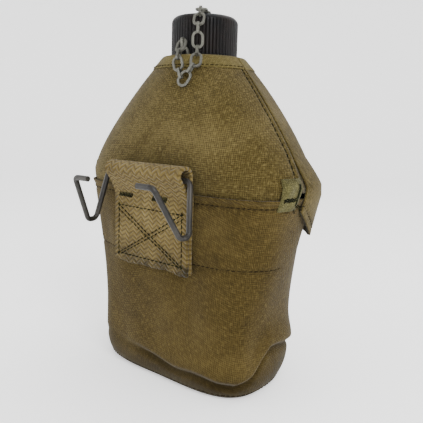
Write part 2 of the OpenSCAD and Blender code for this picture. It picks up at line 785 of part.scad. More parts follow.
module snap_stud_right() {
    shank = canvas_t + clear_gap + plate_t;
    head_h = (stud_top - plate_t) / 2;
    color("#6a5a34") at_snap(0) union() {
        translate([0, 0, -shank]) cylinder(r = rivet_r, h = shank + 2 * layer_gap);
        translate([0, 0, layer_gap]) cylinder(r = washer_out_r, h = plate_t);
        translate([0, 0, layer_gap]) cylinder(r = stud_r - stud_lip, h = stud_top - layer_gap);
        translate([0, 0, stud_top - head_h]) cylinder(r = stud_r, h = head_h);
    }
}

// The socket under a flap; its mouth is long, because the flap swings off the stud at a slant
module snap_socket_right() {
    low = layer_gap + plate_t + clear_gap;
    high = flap_stand - layer_gap;
    mouth_r = stud_r + clear_gap;
    color("#6a5a34") at_snap(0) translate([0, 0, low]) difference() {
        cylinder(r = flange_r, h = high - low);
        translate([0, 0, -plate_t]) linear_extrude(high - low) rotate([0, 0, slot_turn]) {
            circle(r = mouth_r);
            translate([slot_run, 0]) circle(r = mouth_r);
            translate([0, -mouth_r]) square([slot_run, 2 * mouth_r]);
        }
    }
}

// The button outside a flap, whose rivet goes through the canvas to the socket
module socket_button_right() {
    base = flap_stand + canvas_t + clear_gap;
    dome_r = flange_r * 2;
    color("#5f5230") at_snap(0) union() {
        translate([0, 0, flap_stand - layer_gap]) cylinder(r = rivet_r, h = canvas_t + 2 * clear_gap);
        translate([0, 0, base]) intersection() {
            cylinder(r = flange_r, h = dome_r, $fn = 96);
            translate([0, 0, dome_h - dome_r]) sphere(r = dome_r, $fn = 160);
        }
    }
}

module drain_eyelet() {
    color("#6a5a34") translate([0, drain_y, 0]) difference() {
        union() {
            cylinder(r = drain_r + plate_t, h = panel_inset + plate_t);
            translate([0, 0, panel_inset]) cylinder(r = drain_flange_r, h = plate_t);
        }
        translate([0, 0, -panel_inset]) cylinder(r = drain_r, h = corner_h);
    }
}

module flap_left() { mirror([1, 0, 0]) flap_right(); }
module lining_flap_left() { mirror([1, 0, 0]) lining_flap_right(); }
module flap_binding_left() { mirror([1, 0, 0]) flap_binding_right(); }
module corner_patch_left() { mirror([1, 0, 0]) corner_patch_right(); }
module snap_stud_left() { mirror([1, 0, 0]) snap_stud_right(); }
module stud_washer_left() { mirror([1, 0, 0]) stud_washer_right(); }
module snap_socket_left() { mirror([1, 0, 0]) snap_socket_right(); }
module socket_button_left() { mirror([1, 0, 0]) socket_button_right(); }

bottle_lower_shell();
bottle_upper_shell();
neck();
neck_chain_ring();
chain_end_ring();
cap_shell();
cap_gasket();
cap_swivel_pin();
cap_pin_washer();
cap_swivel_ring();
chain_link(1);  // chain_link_1
chain_link(2);  // chain_link_2
chain_link(3);  // chain_link_3
chain_link(4);  // chain_link_4
chain_link(5);  // chain_link_5
chain_link(6);  // chain_link_6
chain_link(7);  // chain_link_7
chain_link(8);  // chain_link_8
chain_link(9);  // chain_link_9
cover_pocket();
cover_back_panel();
flap_right();
flap_left();
lining_pocket();
lining_back();
lining_flap_right();
lining_flap_left();
neck_binding();
flap_binding_right();
flap_binding_left();
corner_patch_right();
corner_patch_left();
hook_tab();
belt_hook();
snap_stud_right();
snap_stud_left();
stud_washer_right();
stud_washer_left();
snap_socket_right();
snap_socket_left();
socket_button_right();
socket_button_left();
drain_eyelet();
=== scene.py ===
# %% [markdown]
# # A belt canteen, finished in Blender
# The CAD model gives every rigid piece its exact shape. Here the cloth of the cover, the
# webbing, the felt and all the stitches are built around that frame, and every surface gets
# a procedural material. Lengths are in metres; sizes in millimetres are turned by `MM`.

import json
import math

import bmesh
import bpy
import numpy as np
from mathutils import Matrix, Vector


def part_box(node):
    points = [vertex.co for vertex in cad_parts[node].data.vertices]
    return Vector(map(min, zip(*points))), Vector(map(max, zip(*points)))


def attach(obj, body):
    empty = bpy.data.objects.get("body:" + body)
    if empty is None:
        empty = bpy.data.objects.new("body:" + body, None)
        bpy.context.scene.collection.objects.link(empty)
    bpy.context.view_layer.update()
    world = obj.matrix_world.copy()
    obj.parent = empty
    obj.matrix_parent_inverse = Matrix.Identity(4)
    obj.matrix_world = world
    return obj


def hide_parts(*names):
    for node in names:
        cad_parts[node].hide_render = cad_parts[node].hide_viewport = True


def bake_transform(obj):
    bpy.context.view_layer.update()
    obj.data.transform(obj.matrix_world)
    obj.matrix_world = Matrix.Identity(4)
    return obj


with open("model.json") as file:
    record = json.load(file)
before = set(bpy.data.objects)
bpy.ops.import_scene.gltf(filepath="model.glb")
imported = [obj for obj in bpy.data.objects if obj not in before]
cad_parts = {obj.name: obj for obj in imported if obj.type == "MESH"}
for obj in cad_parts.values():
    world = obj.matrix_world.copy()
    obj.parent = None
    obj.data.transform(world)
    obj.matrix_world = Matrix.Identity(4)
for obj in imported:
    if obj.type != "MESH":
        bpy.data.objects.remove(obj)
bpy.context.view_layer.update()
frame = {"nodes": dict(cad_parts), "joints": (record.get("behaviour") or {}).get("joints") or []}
nodes = frame["nodes"]
MM = 0.001

# %% [markdown]
# ## Camera
# The camera comes first, so every later choice can be judged from it. It looks at the belt
# side from the right and a little from above, close enough for clear perspective. It could
# be aimed by hand, but a target, two angles and a distance say the same thing and are easy
# to change.

# %% Camera
VIEW_TURN = math.radians(39.2)
VIEW_RISE = math.radians(9.62)
VIEW_ROLL = math.radians(1.66)
VIEW_DISTANCE = 334.4 * MM
VIEW_TARGET = Vector((5.3, 4.3, 95.74)) * MM
LENS_MM = 46.9

back = Vector((math.sin(VIEW_TURN) * math.cos(VIEW_RISE),
               -math.cos(VIEW_TURN) * math.cos(VIEW_RISE), math.sin(VIEW_RISE)))
level_right = (-back).cross(Vector((0, 0, 1))).normalized()
level_up = level_right.cross(-back)
right = level_right * math.cos(VIEW_ROLL) + level_up * math.sin(VIEW_ROLL)
up = level_up * math.cos(VIEW_ROLL) - level_right * math.sin(VIEW_ROLL)
camera_data = bpy.data.cameras.new("camera")
camera_data.lens = LENS_MM
camera_data.sensor_width = 36
camera_data.clip_start = 0.01
camera = bpy.data.objects.new("camera", camera_data)
bpy.context.scene.collection.objects.link(camera)
turn = Matrix((right, up, back)).transposed().to_4x4()
camera.matrix_world = Matrix.Translation(VIEW_TARGET + back * VIEW_DISTANCE) @ turn
bpy.context.scene.camera = camera
print("camera at", [round(c, 3) for c in camera.location])

# %% [markdown]
# ## Floor and light
# A pale floor that curves up behind the object gives no horizon, so nothing distracts from
# it. Three large soft lights and a bright, even world copy a studio's light tent: the
# main one from the right and above, a weaker one to fill the left side, and one overhead.

# %% Floor and light
def floor_sweep():
    """A floor that rises in a round sweep on every side."""
    rings, turns = 26, 96
    mesh = bmesh.new()
    rows = []
    for i in range(rings):
        reach = 0.05 + 2.4 * (i / (rings - 1)) ** 1.6
        lift = max(0.0, reach - 1.1) ** 2 * 1.1
        rows.append([mesh.verts.new((reach * math.cos(math.tau * k / turns),
                                     reach * math.sin(math.tau * k / turns), lift))
                     for k in range(turns)])
    for low, high in zip(rows, rows[1:]):
        for k in range(turns):
            n = (k + 1) % turns
            mesh.faces.new((low[k], low[n], high[n], high[k]))
    mesh.faces.new(rows[0])
    bmesh.ops.recalc_face_normals(mesh, faces=mesh.faces)
    if mesh.faces[0].normal.z < 0:
        bmesh.ops.reverse_faces(mesh, faces=mesh.faces)
    data = bpy.data.meshes.new("floor")
    mesh.to_mesh(data)
    mesh.free()
    floor = bpy.data.objects.new("floor", data)
    bpy.context.scene.collection.objects.link(floor)
    for face in data.polygons:
        face.use_smooth = True
    return floor


def area_light(name, place, size, power, target=(0, 0, 0.09)):
    """A soft square light that faces a target."""
    data = bpy.data.lights.new(name, "AREA")
    data.shape = "SQUARE"
    data.size = size
    data.energy = power
    light = bpy.data.objects.new(name, data)
    bpy.context.scene.collection.objects.link(light)
    light.location = place
    light.rotation_euler = (Vector(target) - Vector(place)).to_track_quat("-Z", "Y").to_euler()
    return light


floor = floor_sweep()
FLOOR_LOOK = {"Base Color": (0.97, 0.97, 0.97, 1), "Roughness": 0.9,
              "Emission Color": (1, 1, 1, 1), "Emission Strength": 0.55}
floor_paint = bpy.data.materials.new("floor_paint")
floor_paint.use_nodes = True
for socket, value in FLOOR_LOOK.items():
    floor_paint.node_tree.nodes["Principled BSDF"].inputs[socket].default_value = value
floor.data.materials.append(floor_paint)
area_light("main_light", (0.85, -0.45, 0.80), 0.45, 11.0)
area_light("fill_light", (-0.70, -0.70, 0.35), 0.8, 3.0)
area_light("top_light", (0.1, 0.35, 1.0), 0.7, 4.0)
world = bpy.data.worlds.new("world")
bpy.context.scene.world = world
world.use_nodes = True
world.node_tree.nodes["Background"].inputs["Color"].default_value = (1, 1, 1, 1)
world.node_tree.nodes["Background"].inputs["Strength"].default_value = 1.0

# %% [markdown]
# ## Helpers for materials
# A node material is a small graph. These helpers add a node, set its sockets and join it to
# others in one line, so that each material below reads like a recipe. Effects that several
# materials share are node groups with named inputs, built once.

# %% Node helpers
def colour(red, green, blue):
    """An RGBA value from screen colours of 0 to 255."""
    def linear(c):
        c /= 255
        return c / 12.92 if c <= 0.04045 else ((c + 0.055) / 1.055) ** 2.4
    return (linear(red), linear(green), linear(blue), 1.0)


class Graph:
    """Adds nodes to one tree and links them."""

    def __init__(self, tree):
        self.tree = tree

    def add(self, kind, out=0, settings=None, **sockets):
        node = self.tree.nodes.new(kind)
        for name, value in (settings or {}).items():
            setattr(node, name, value)
        for name, value in sockets.items():
            socket = node.inputs[int(name[1:])] if name[0] == "i" and name[1:].isdigit() \
                else node.inputs[name.replace("_", " ")]
            if isinstance(value, bpy.types.NodeSocket):
                self.tree.links.new(value, socket)
            else:
                socket.default_value = value
        return node.outputs[out]

    def math(self, operation, a, b=0.0, clamp=False):
        return self.add("ShaderNodeMath", settings={"operation": operation, "use_clamp": clamp},
                        i0=a, i1=b)

    def mix(self, share, a, b, way="MIX"):
        node = self.tree.nodes.new("ShaderNodeMix")
        node.data_type = "RGBA"
        node.blend_type = way
        node.clamp_factor = True
        for socket, value in ((node.inputs[0], share), (node.inputs[6], a), (node.inputs[7], b)):
            if isinstance(value, bpy.types.NodeSocket):
                self.tree.links.new(value, socket)
            else:
                socket.default_value = value
        return node.outputs[2]

    def ramp(self, value, low, high, a=0.0, b=1.0):
        """Maps low..high to a..b, smoothly, and keeps to those ends."""
        return self.add("ShaderNodeMapRange", settings={"interpolation_type": "SMOOTHSTEP"},
                        i0=value, i1=low, i2=high, i3=a, i4=b)

    def noise(self, where, scale, detail=4.0, rough=0.55, warp=0.0):
        return self.add("ShaderNodeTexNoise", Vector=where, Scale=scale, Detail=detail,
                        Roughness=rough, Distortion=warp)


def new_group(name, inputs, outputs):
    """A shader node group with named inputs and outputs, and its graph."""
    tree = bpy.data.node_groups.new(name, "ShaderNodeTree")
    kinds = {"v": "NodeSocketVector", "f": "NodeSocketFloat", "c": "NodeSocketColor"}
    for title, kind, value in inputs:
        socket = tree.interface.new_socket(title, in_out="INPUT", socket_type=kinds[kind])
        if value is not None:
            socket.default_value = value
    for title, kind in outputs:
        tree.interface.new_socket(title, in_out="OUTPUT", socket_type=kinds[kind])
    start = tree.nodes.new("NodeGroupInput")
    end = tree.nodes.new("NodeGroupOutput")
    return tree, Graph(tree), start.outputs, end.inputs


def use_group(graph, tree, **sockets):
    """Places a group in a material; returns its outputs by name."""
    node = graph.tree.nodes.new("ShaderNodeGroup")
    node.node_tree = tree
    for name, value in sockets.items():
        socket = node.inputs[name.replace("_", " ")]
        if isinstance(value, bpy.types.NodeSocket):
            graph.tree.links.new(value, socket)
        else:
            socket.default_value = value
    return node.outputs


def new_material(name, roughness=0.6, **fixed):
    """A material with a Principled shader; returns it, its graph and the shader."""
    material = bpy.data.materials.new(name)
    material.use_nodes = True
    graph = Graph(material.node_tree)
    shader = material.node_tree.nodes["Principled BSDF"]
    shader.inputs["Roughness"].default_value = roughness
    for socket, value in fixed.items():
        shader.inputs[socket.replace("_", " ")].default_value = value
    return material, graph, shader


def finish_shader(graph, shader, base=None, rough=None, height=None, bump=0.3, depth=0.0002):
    """Joins colour, roughness and a height to the shader."""
    if base is not None:
        graph.tree.links.new(base, shader.inputs["Base Color"])
    if rough is not None:
        graph.tree.links.new(rough, shader.inputs["Roughness"])
    if height is not None:
        normal = graph.add("ShaderNodeBump", Strength=bump, Distance=depth, Height=height)
        graph.tree.links.new(normal, shader.inputs["Normal"])


# %% [markdown]
# ## Shared effects
# The canvas and the webbing are woven: threads run both ways and pass over and under each
# other. A sine in each direction, with its sign flipped from crossing to crossing, gives
# that height. Wear and dirt are slow noises that lighten or darken the cloth in patches.

# %% Weave group
SLUB_SCALE, SLUB_STRETCH = 320.0, 5.0


def weave_group():
    """Plain weave on a UV map in metres: thread height, and a mask of gaps."""
    tree, g, start, end = new_group(
        "plain_weave",
        [("UV", "v", None), ("Thread", "f", 0.0008), ("Waver", "f", 0.25)],
        [("Height", "f"), ("Gaps", "f"), ("Slub", "f")])
    parts = g.add("ShaderNodeSeparateXYZ", Vector=start["UV"]).node
    waver = g.noise(start["UV"], 90.0, 2.0)
    sway = g.math("MULTIPLY", g.math("SUBTRACT", waver, 0.5), start["Waver"])
    across = g.math("ADD", g.math("DIVIDE", parts.outputs["X"], start["Thread"]), sway)
    along = g.math("ADD", g.math("DIVIDE", parts.outputs["Y"], start["Thread"]), sway)
    wave_x = g.math("SINE", g.math("MULTIPLY", across, math.pi))
    wave_y = g.math("SINE", g.math("MULTIPLY", along, math.pi))
    over = g.math("MULTIPLY", wave_x, wave_y)
    height = g.math("MULTIPLY", g.math("ADD", over, 1.0), 0.5)
    gap_x = g.math("ABSOLUTE", g.math("COSINE", g.math("MULTIPLY", across, math.pi)))
    gap_y = g.math("ABSOLUTE", g.math("COSINE", g.math("MULTIPLY", along, math.pi)))
    gaps = g.math("MULTIPLY", gap_x, gap_y)
    threads = []
    for stretch in ((SLUB_STRETCH, 1.0, 1.0), (1.0, SLUB_STRETCH, 1.0)):
        run = g.add("ShaderNodeMapping", Vector=start["UV"], Scale=stretch)
        threads.append(g.noise(run, SLUB_SCALE, 3.0))
    slub = g.math("MULTIPLY", g.math("ADD", *threads), 0.5)
    for title, value in (("Height", height), ("Gaps", gaps), ("Slub", slub)):
        tree.links.new(value, end[title])
    return tree


def wear_group():
    """Fading in slow blotches and dirt in fast ones, on Object coordinates."""
    tree, g, start, end = new_group(
        "cloth_wear",
        [("Place", "v", None), ("Color", "c", (0.2, 0.16, 0.08, 1)),
         ("Faded", "c", (0.3, 0.25, 0.14, 1)), ("Grime", "c", (0.04, 0.03, 0.015, 1)),
         ("Fade", "f", 0.4), ("Dirt", "f", 0.35), ("Scale", "f", 24.0)],
        [("Color", "c"), ("Mask", "f")])
    slow = g.noise(start["Place"], start["Scale"], 5.0, 0.6, 0.4)
    fade = g.math("MULTIPLY", g.ramp(slow, 0.42, 0.68), start["Fade"])
    faded = g.mix(fade, start["Color"], start["Faded"])
    fast = g.noise(start["Place"], g.math("MULTIPLY", start["Scale"], 3.7), 6.0, 0.65)
    dirt = g.math("MULTIPLY", g.ramp(fast, 0.5, 0.74), start["Dirt"])
    tree.links.new(g.mix(dirt, faded, start["Grime"]), end["Color"])
    tree.links.new(fast, end["Mask"])
    return tree


weave = weave_group()
wear = wear_group()

# %% [markdown]
# ## Cloth materials
# The cover is one khaki duck, but its pieces have aged apart: the pocket is darker and
# browner, the upper panels are faded. One function makes each from its own three colours.
# A little sheen stands for the fuzz of worn cotton.

# %% Canvas, binding and felt
def woven_material(name, base, faded, grime_and_shade, thread, fade=0.5, dirt=0.35, bump=0.5,
                   painted_foot_shade=None, sheen=0.06):
    """Canvas of one colour range with its weave on the UV map, with painted shade from the 'shade'
    attribute.
    """
    material, g, shader = new_material(name, roughness=0.95, Sheen_Weight=sheen,
                                       Sheen_Roughness=0.5, Specular_IOR_Level=0.05)
    uv = g.add("ShaderNodeUVMap", settings={"uv_map": "UVMap"})
    place = g.add("ShaderNodeTexCoord", out="Object")
    cloth = use_group(g, weave, UV=uv, Thread=thread, Waver=0.3)
    aged = use_group(g, wear, Place=place, Color=base, Faded=faded, Grime=grime_and_shade,
                     Fade=fade, Dirt=dirt, Scale=24.0)
    tone = g.mix(g.math("MULTIPLY", cloth["Gaps"], 0.75), aged["Color"], grime_and_shade)
    tone = g.mix(g.ramp(cloth["Slub"], 0.48, 0.64, 0.0, 0.55), tone, faded)
    tone = g.mix(g.ramp(cloth["Slub"], 0.50, 0.38, 0.0, 0.32), tone, grime_and_shade)
    # Painted shade: the 'shade' attribute darkens the cloth in creases, seam grooves, where the
    # pocket's hem shades the panel, and on the pocket's base.
    painted_shade_mask = g.add("ShaderNodeAttribute", out="Fac", settings={"attribute_name": "shade"})
    tone = g.mix(g.math("MULTIPLY", painted_shade_mask, 0.55), tone, grime_and_shade)
    # Painted shade: the cloth darkens towards the base, with an uneven upper edge, where the
    # sagging foot turns from the light.
    if painted_foot_shade is not None:
        height = g.add("ShaderNodeSeparateXYZ", out="Z", Vector=place)
        blot = g.noise(place, 38.0, 5.0)
        low = g.math("ADD", height, g.math("MULTIPLY", blot, -0.02))
        tone = g.mix(g.ramp(low, painted_foot_shade, -0.006, 0.0, 0.5), tone, grime_and_shade)
    fine = g.math("ADD", cloth["Height"], g.math("MULTIPLY", cloth["Slub"], 1.6))
    finish_shader(g, shader, base=tone, height=fine, bump=bump, depth=0.00035)
    return material


# A dark dirt colour, which the canvas also uses for painted shade in creases and at the foot.
CANVAS_GRIME_AND_SHADE = colour(24, 18, 6)
# The pocket gets painted shade over about its lowest 12 mm.
canvas_low = woven_material("canvas_pocket", colour(60, 49, 20), colour(88, 75, 41),
                            CANVAS_GRIME_AND_SHADE, 0.0011, fade=0.5, dirt=0.4, painted_foot_shade=0.012)
canvas_top = woven_material("canvas_upper", colour(68, 58, 27), colour(102, 90, 54),
                            CANVAS_GRIME_AND_SHADE, 0.0011, fade=0.6, dirt=0.3)
tape_cloth = woven_material("binding_tape", colour(86, 76, 40), colour(108, 98, 60),
                            colour(44, 38, 16), 0.0006, fade=0.5, dirt=0.5, bump=0.5)
patch_cloth = woven_material("corner_patch_cloth", colour(74, 70, 40), colour(110, 106, 68),
                             colour(34, 31, 14), 0.0007, fade=0.7, dirt=0.6, bump=0.8)
felt_cloth = woven_material("felt", colour(88, 80, 58), colour(108, 99, 76),
                            colour(58, 50, 34), 0.0021, fade=0.5, dirt=0.3, bump=0.9, sheen=0.6)


# %% [markdown]
# ## Webbing
# The tab is heavy cotton webbing in a herringbone: the ribs lean one way in one stripe and
# the other way in the next. A saw of the width coordinate picks the stripe, and its sign
# tilts the ribs.

# %% Herringbone webbing
STRIPE_WIDTH, RIB_PITCH, YARN_WIDTH = 0.0031, 0.0026, 0.0009


def webbing_material():
    """Herringbone ribs on the UV map, light tan with dirt in the grooves."""
    material, g, shader = new_material("webbing", roughness=0.95, Sheen_Weight=0.08,
                                       Sheen_Roughness=0.5, Specular_IOR_Level=0.05)
    uv = g.add("ShaderNodeUVMap", settings={"uv_map": "UVMap"})
    place = g.add("ShaderNodeTexCoord", out="Object")
    parts = g.add("ShaderNodeSeparateXYZ", Vector=uv).node
    stripe = g.math("PINGPONG", g.math("DIVIDE", parts.outputs["X"], STRIPE_WIDTH), 1.0)
    lean = g.math("MULTIPLY", stripe, 0.85)
    sway = g.math("MULTIPLY", g.noise(uv, 240.0, 2.0), 0.55)
    rows = g.math("ADD", g.math("DIVIDE", parts.outputs["Y"], RIB_PITCH), sway)
    ribs = g.math("SINE", g.math("MULTIPLY", g.math("ADD", rows, lean), math.tau))
    rib = g.math("MULTIPLY", g.math("ADD", ribs, 1.0), 0.5)
    yarns = g.math("DIVIDE", parts.outputs["X"], YARN_WIDTH)
    yarn = g.math("SINE", g.math("MULTIPLY", yarns, math.tau))
    height = g.math("ADD", rib, g.math("MULTIPLY", yarn, 0.12))
    aged = use_group(g, wear, Place=place, Color=colour(96, 82, 46), Faded=colour(122, 107, 66),
                     Grime=colour(46, 37, 16), Fade=0.6, Dirt=0.5, Scale=45.0)
    groove = g.ramp(rib, 0.55, 0.05, 0.0, 0.62)
    tone = g.mix(groove, aged["Color"], colour(58, 45, 18))
    soil = g.noise(place, 70.0, 5.0, 0.6)
    edge = g.add("ShaderNodeAttribute", out="Fac", settings={"attribute_name": "shade"})
    tone = g.mix(g.math("MULTIPLY", edge, g.ramp(soil, 0.3, 0.6)), tone, colour(26, 23, 15))
    finish_shader(g, shader, base=tone, height=height, bump=0.9, depth=0.0008)
    return material


webbing = webbing_material()

# %% [markdown]
# ## Thread
# The seams are sewn in strong dark green cotton. Each stitch is a short fat strand, so a
# twist of fine diagonal lines and a few lighter fibres are all that it needs.

# %% Thread material
def thread_material(name, base, light):
    """Twisted cotton thread."""
    material, g, shader = new_material(name, roughness=0.95, Specular_IOR_Level=0.05)
    place = g.add("ShaderNodeTexCoord", out="Object")
    twist = g.add("ShaderNodeTexWave", settings={"bands_direction": "DIAGONAL"}, out=1,
                  Vector=place, Scale=900.0, Distortion=1.5)
    tone = g.mix(g.ramp(g.noise(place, 260.0), 0.4, 0.7), base, light)
    finish_shader(g, shader, base=tone, height=twist, bump=0.4, depth=0.0001)
    return material


thread_dark = thread_material("thread_dark_green", colour(12, 14, 8), colour(32, 34, 18))
thread_olive = thread_material("thread_olive", colour(22, 18, 8), colour(44, 37, 18))

# %% [markdown]
# ## Metal and plastic
# The cap is black moulded plastic whose ribs have worn brown. The chain is dull tinned
# steel gone grey, the hook is blackened steel, the snaps are darkened brass, and the bottle
# is brushed steel, seen only when the cap or the flaps are open. Wear on the corners comes
# from the Pointiness of the mesh, spread with noise.

# %% Scuff group
def scuff_group():
    """Edge wear: a mask that is high on the corners, broken up by noise, and grain."""
    tree, g, start, end = new_group(
        "edge_scuff", [("Place", "v", None), ("Amount", "f", 0.5), ("Scale", "f", 300.0)],
        [("Mask", "f"), ("Grain", "f")])
    point = g.add("ShaderNodeNewGeometry", out="Pointiness")
    grain = g.noise(start["Place"], start["Scale"], 6.0, 0.65)
    edges = g.ramp(point, 0.505, 0.60)
    spots = g.ramp(grain, 0.62, 0.74)
    both = g.math("ADD", g.math("MULTIPLY", edges, grain), g.math("MULTIPLY", spots, 0.5))
    tree.links.new(g.math("MULTIPLY", both, start["Amount"], clamp=True), end["Mask"])
    tree.links.new(grain, end["Grain"])
    return tree


scuff = scuff_group()


def hard_material(name, base, worn, rough, worn_rough, metal=0.0, amount=1.0, scale=300.0,
                  bump=0.15, depth=0.00015, gloss=0.5):
    """Painted, moulded or bare hard surface with scuffs."""
    material, g, shader = new_material(name, roughness=rough, Metallic=metal,
                                       Specular_IOR_Level=gloss)
    place = g.add("ShaderNodeTexCoord", out="Object")
    marks = use_group(g, scuff, Place=place, Amount=amount, Scale=scale)
    stain = g.noise(place, scale / 7, 4.0)
    tone = g.mix(g.ramp(stain, 0.35, 0.7, 0.0, 0.35), base, worn)
    tone = g.mix(marks["Mask"], tone, worn)
    rough_now = g.math("ADD", g.math("MULTIPLY", marks["Mask"], worn_rough - rough),
                       g.ramp(marks["Grain"], 0.3, 0.7, rough - 0.05, rough + 0.1))
    finish_shader(g, shader, base=tone, rough=rough_now, height=marks["Grain"], bump=bump,
                  depth=depth)
    return material


cap_plastic = hard_material("cap_plastic", colour(6, 9, 11), colour(34, 24, 19), 0.40, 0.6,
                            amount=0.42, scale=420.0, bump=0.25, gloss=0.12)
chain_steel = hard_material("chain_steel", colour(56, 56, 51), colour(112, 111, 102), 0.42, 0.5,
                            metal=0.7, amount=0.9, scale=700.0, bump=0.35)
hook_steel = hard_material("hook_steel", colour(16, 16, 16), colour(74, 70, 64), 0.34, 0.45,
                           metal=0.35, amount=0.5, scale=420.0, bump=0.2, gloss=0.3)
snap_brass = hard_material("snap_metal", colour(30, 28, 20), colour(104, 88, 50), 0.4, 0.45,
                           metal=0.8, amount=0.9, scale=500.0)
bottle_steel = hard_material("bottle_steel", colour(150, 152, 150), colour(180, 181, 178),
                             0.34, 0.5, metal=0.95, amount=0.6, scale=120.0, bump=0.1)
gasket_rubber = hard_material("gasket_rubber", colour(40, 36, 32), colour(70, 62, 54), 0.8, 0.85,
                              amount=0.4, scale=500.0, bump=0.4)

FINISHES = {
    "cap_shell": cap_plastic, "cap_gasket": gasket_rubber,
    "cap_swivel_pin": chain_steel, "cap_pin_washer": chain_steel,
    "cap_swivel_ring": chain_steel, "neck_chain_ring": chain_steel,
    "chain_end_ring": chain_steel, "belt_hook": hook_steel,
    "bottle_lower_shell": bottle_steel, "bottle_upper_shell": bottle_steel,
    "neck": bottle_steel, "drain_eyelet": snap_brass,
}
for name, node in nodes.items():
    finish = FINISHES.get(name)
    if finish is None:
        finish = chain_steel if name.startswith("chain_link") else \
            snap_brass if name.startswith(("snap", "stud", "socket")) else canvas_low
    node.data.materials.clear()
    node.data.materials.append(finish)
print("finishes on CAD nodes:", len(nodes))

# %% [markdown]
# ## The shape of the cover
# Every level cut through the cover is a squared ellipse bent towards the belt side. A few
# sizes and curves give that outline at any angle and height, so cloth, tape, patches and
# seams can all be laid on the one surface, each at its own depth.

# %% Cover surface
COVER_HALF_W, BASE_HALF_W = 74.5, 58.5
BACK_DEPTH, FRONT_DEPTH, BELT_BEND = 42.0, 46.0, 11.4
TAPER_Z, SHOULDER_Z, COLLAR_Z, HEM_Z, BACK_SEAM_Z = 40.0, 118.0, 185.0, 112.0, 74.0
COLLAR_R, CORNER_H, CORNER_IN, BEND_SHARE = 24.8, 16.0, 8.5, 0.35
CANVAS_T, FELT_T, LAYER_GAP, FLAP_STAND = 1.2, 2.5, 0.15, 3.0
PANEL_INSET = CANVAS_T + LAYER_GAP
LINING_INSET = PANEL_INSET + CANVAS_T + LAYER_GAP
FLAP_LOW_Z, FLAP_CORNER, FLAP_CORNER_ANGLE, FLAP_SETTLE = 87.0, 19.0, 35.0, 14.0


def share(value, low, high):
    """How far a value is on its way from low to high, kept to 0 and 1."""
    return np.clip((value - low) / (high - low), 0.0, 1.0)


def skin(angle, z, inset=0.0):
    """Points of the cover in mm, for angles in degrees from the right-hand ridge."""
    angle, z, inset = np.broadcast_arrays(*(np.asarray(v, float) for v in (angle, z, inset)))
    turn = np.radians(angle)
    c, s = np.cos(turn), np.sin(turn)
    rise = share(z, SHOULDER_Z, COLLAR_Z)
    corner = CORNER_IN * (1 - np.sqrt(1 - (1 - share(z, 0, CORNER_H)) ** 2))
    below = BASE_HALF_W + (COVER_HALF_W - BASE_HALF_W) * share(z, TAPER_Z, SHOULDER_Z) ** 1.4
    a = below + (COLLAR_R - below) * rise ** 1.3 - corner - inset
    depth = np.where(s < 0, BACK_DEPTH, FRONT_DEPTH)
    b = depth + (COLLAR_R - depth) * rise ** 2.3 - corner - inset
    power = 2 / (2.4 - 0.4 * rise)
    x = a * np.sign(c) * np.abs(c) ** power
    bend = BELT_BEND * (1 - rise ** 1.3)
    y = b * np.sign(s) * np.abs(s) ** power - bend * ((x / a) ** 2 - BEND_SHARE)
    return np.stack([x, y, z], axis=-1)


def even_angles(start, end, count, z=SHOULDER_Z):
    """Angles whose points lie evenly spaced round the cover."""
    fine = np.linspace(start, end, 1600)
    line = skin(fine, z)
    run = np.concatenate([[0], np.cumsum(np.linalg.norm(np.diff(line, axis=0), axis=1))])
    return np.interp(np.linspace(0, run[-1], count), run, fine)


def waves(seed, x, y, count=6, low=1.0, high=3.0):
    """A smooth random field of about -1 to 1 from a few seeded waves."""
    draw = np.random.default_rng(seed)
    total = np.zeros(np.broadcast(x, y).shape)
    for _ in range(count):
        fx, fy = draw.uniform(low, high, 2) * draw.choice([-1, 1], 2)
        total = total + np.sin(fx * x + fy * y + draw.uniform(0, math.tau))
    return total / math.sqrt(count) / 1.3


def ring_waves(seed, around, height, turns):
    """The same, from whole numbers of waves round a ring, so its ends meet."""
    draw = np.random.default_rng(seed)
    total = np.zeros(np.broadcast(around, height).shape)
    for count in turns:
        lean = draw.uniform(-1.6, 1.6)
        total = total + np.sin(count * around + lean * height + draw.uniform(0, math.tau))
    return total / math.sqrt(len(turns)) / 1.2


def fold(distance, width):
    """A soft ridge of height 1 where distance is 0."""
    return np.exp(-(distance / width) ** 2)


# %% [markdown]
# ## Laying cloth on the surface
# A cloth piece is a grid of points. Each point sits at an angle and a height on the cover,
# is pushed out or in by its folds, and gets a place on the UV map in metres, so the weave
# keeps its size everywhere. Solidify then gives the sheet its thickness.

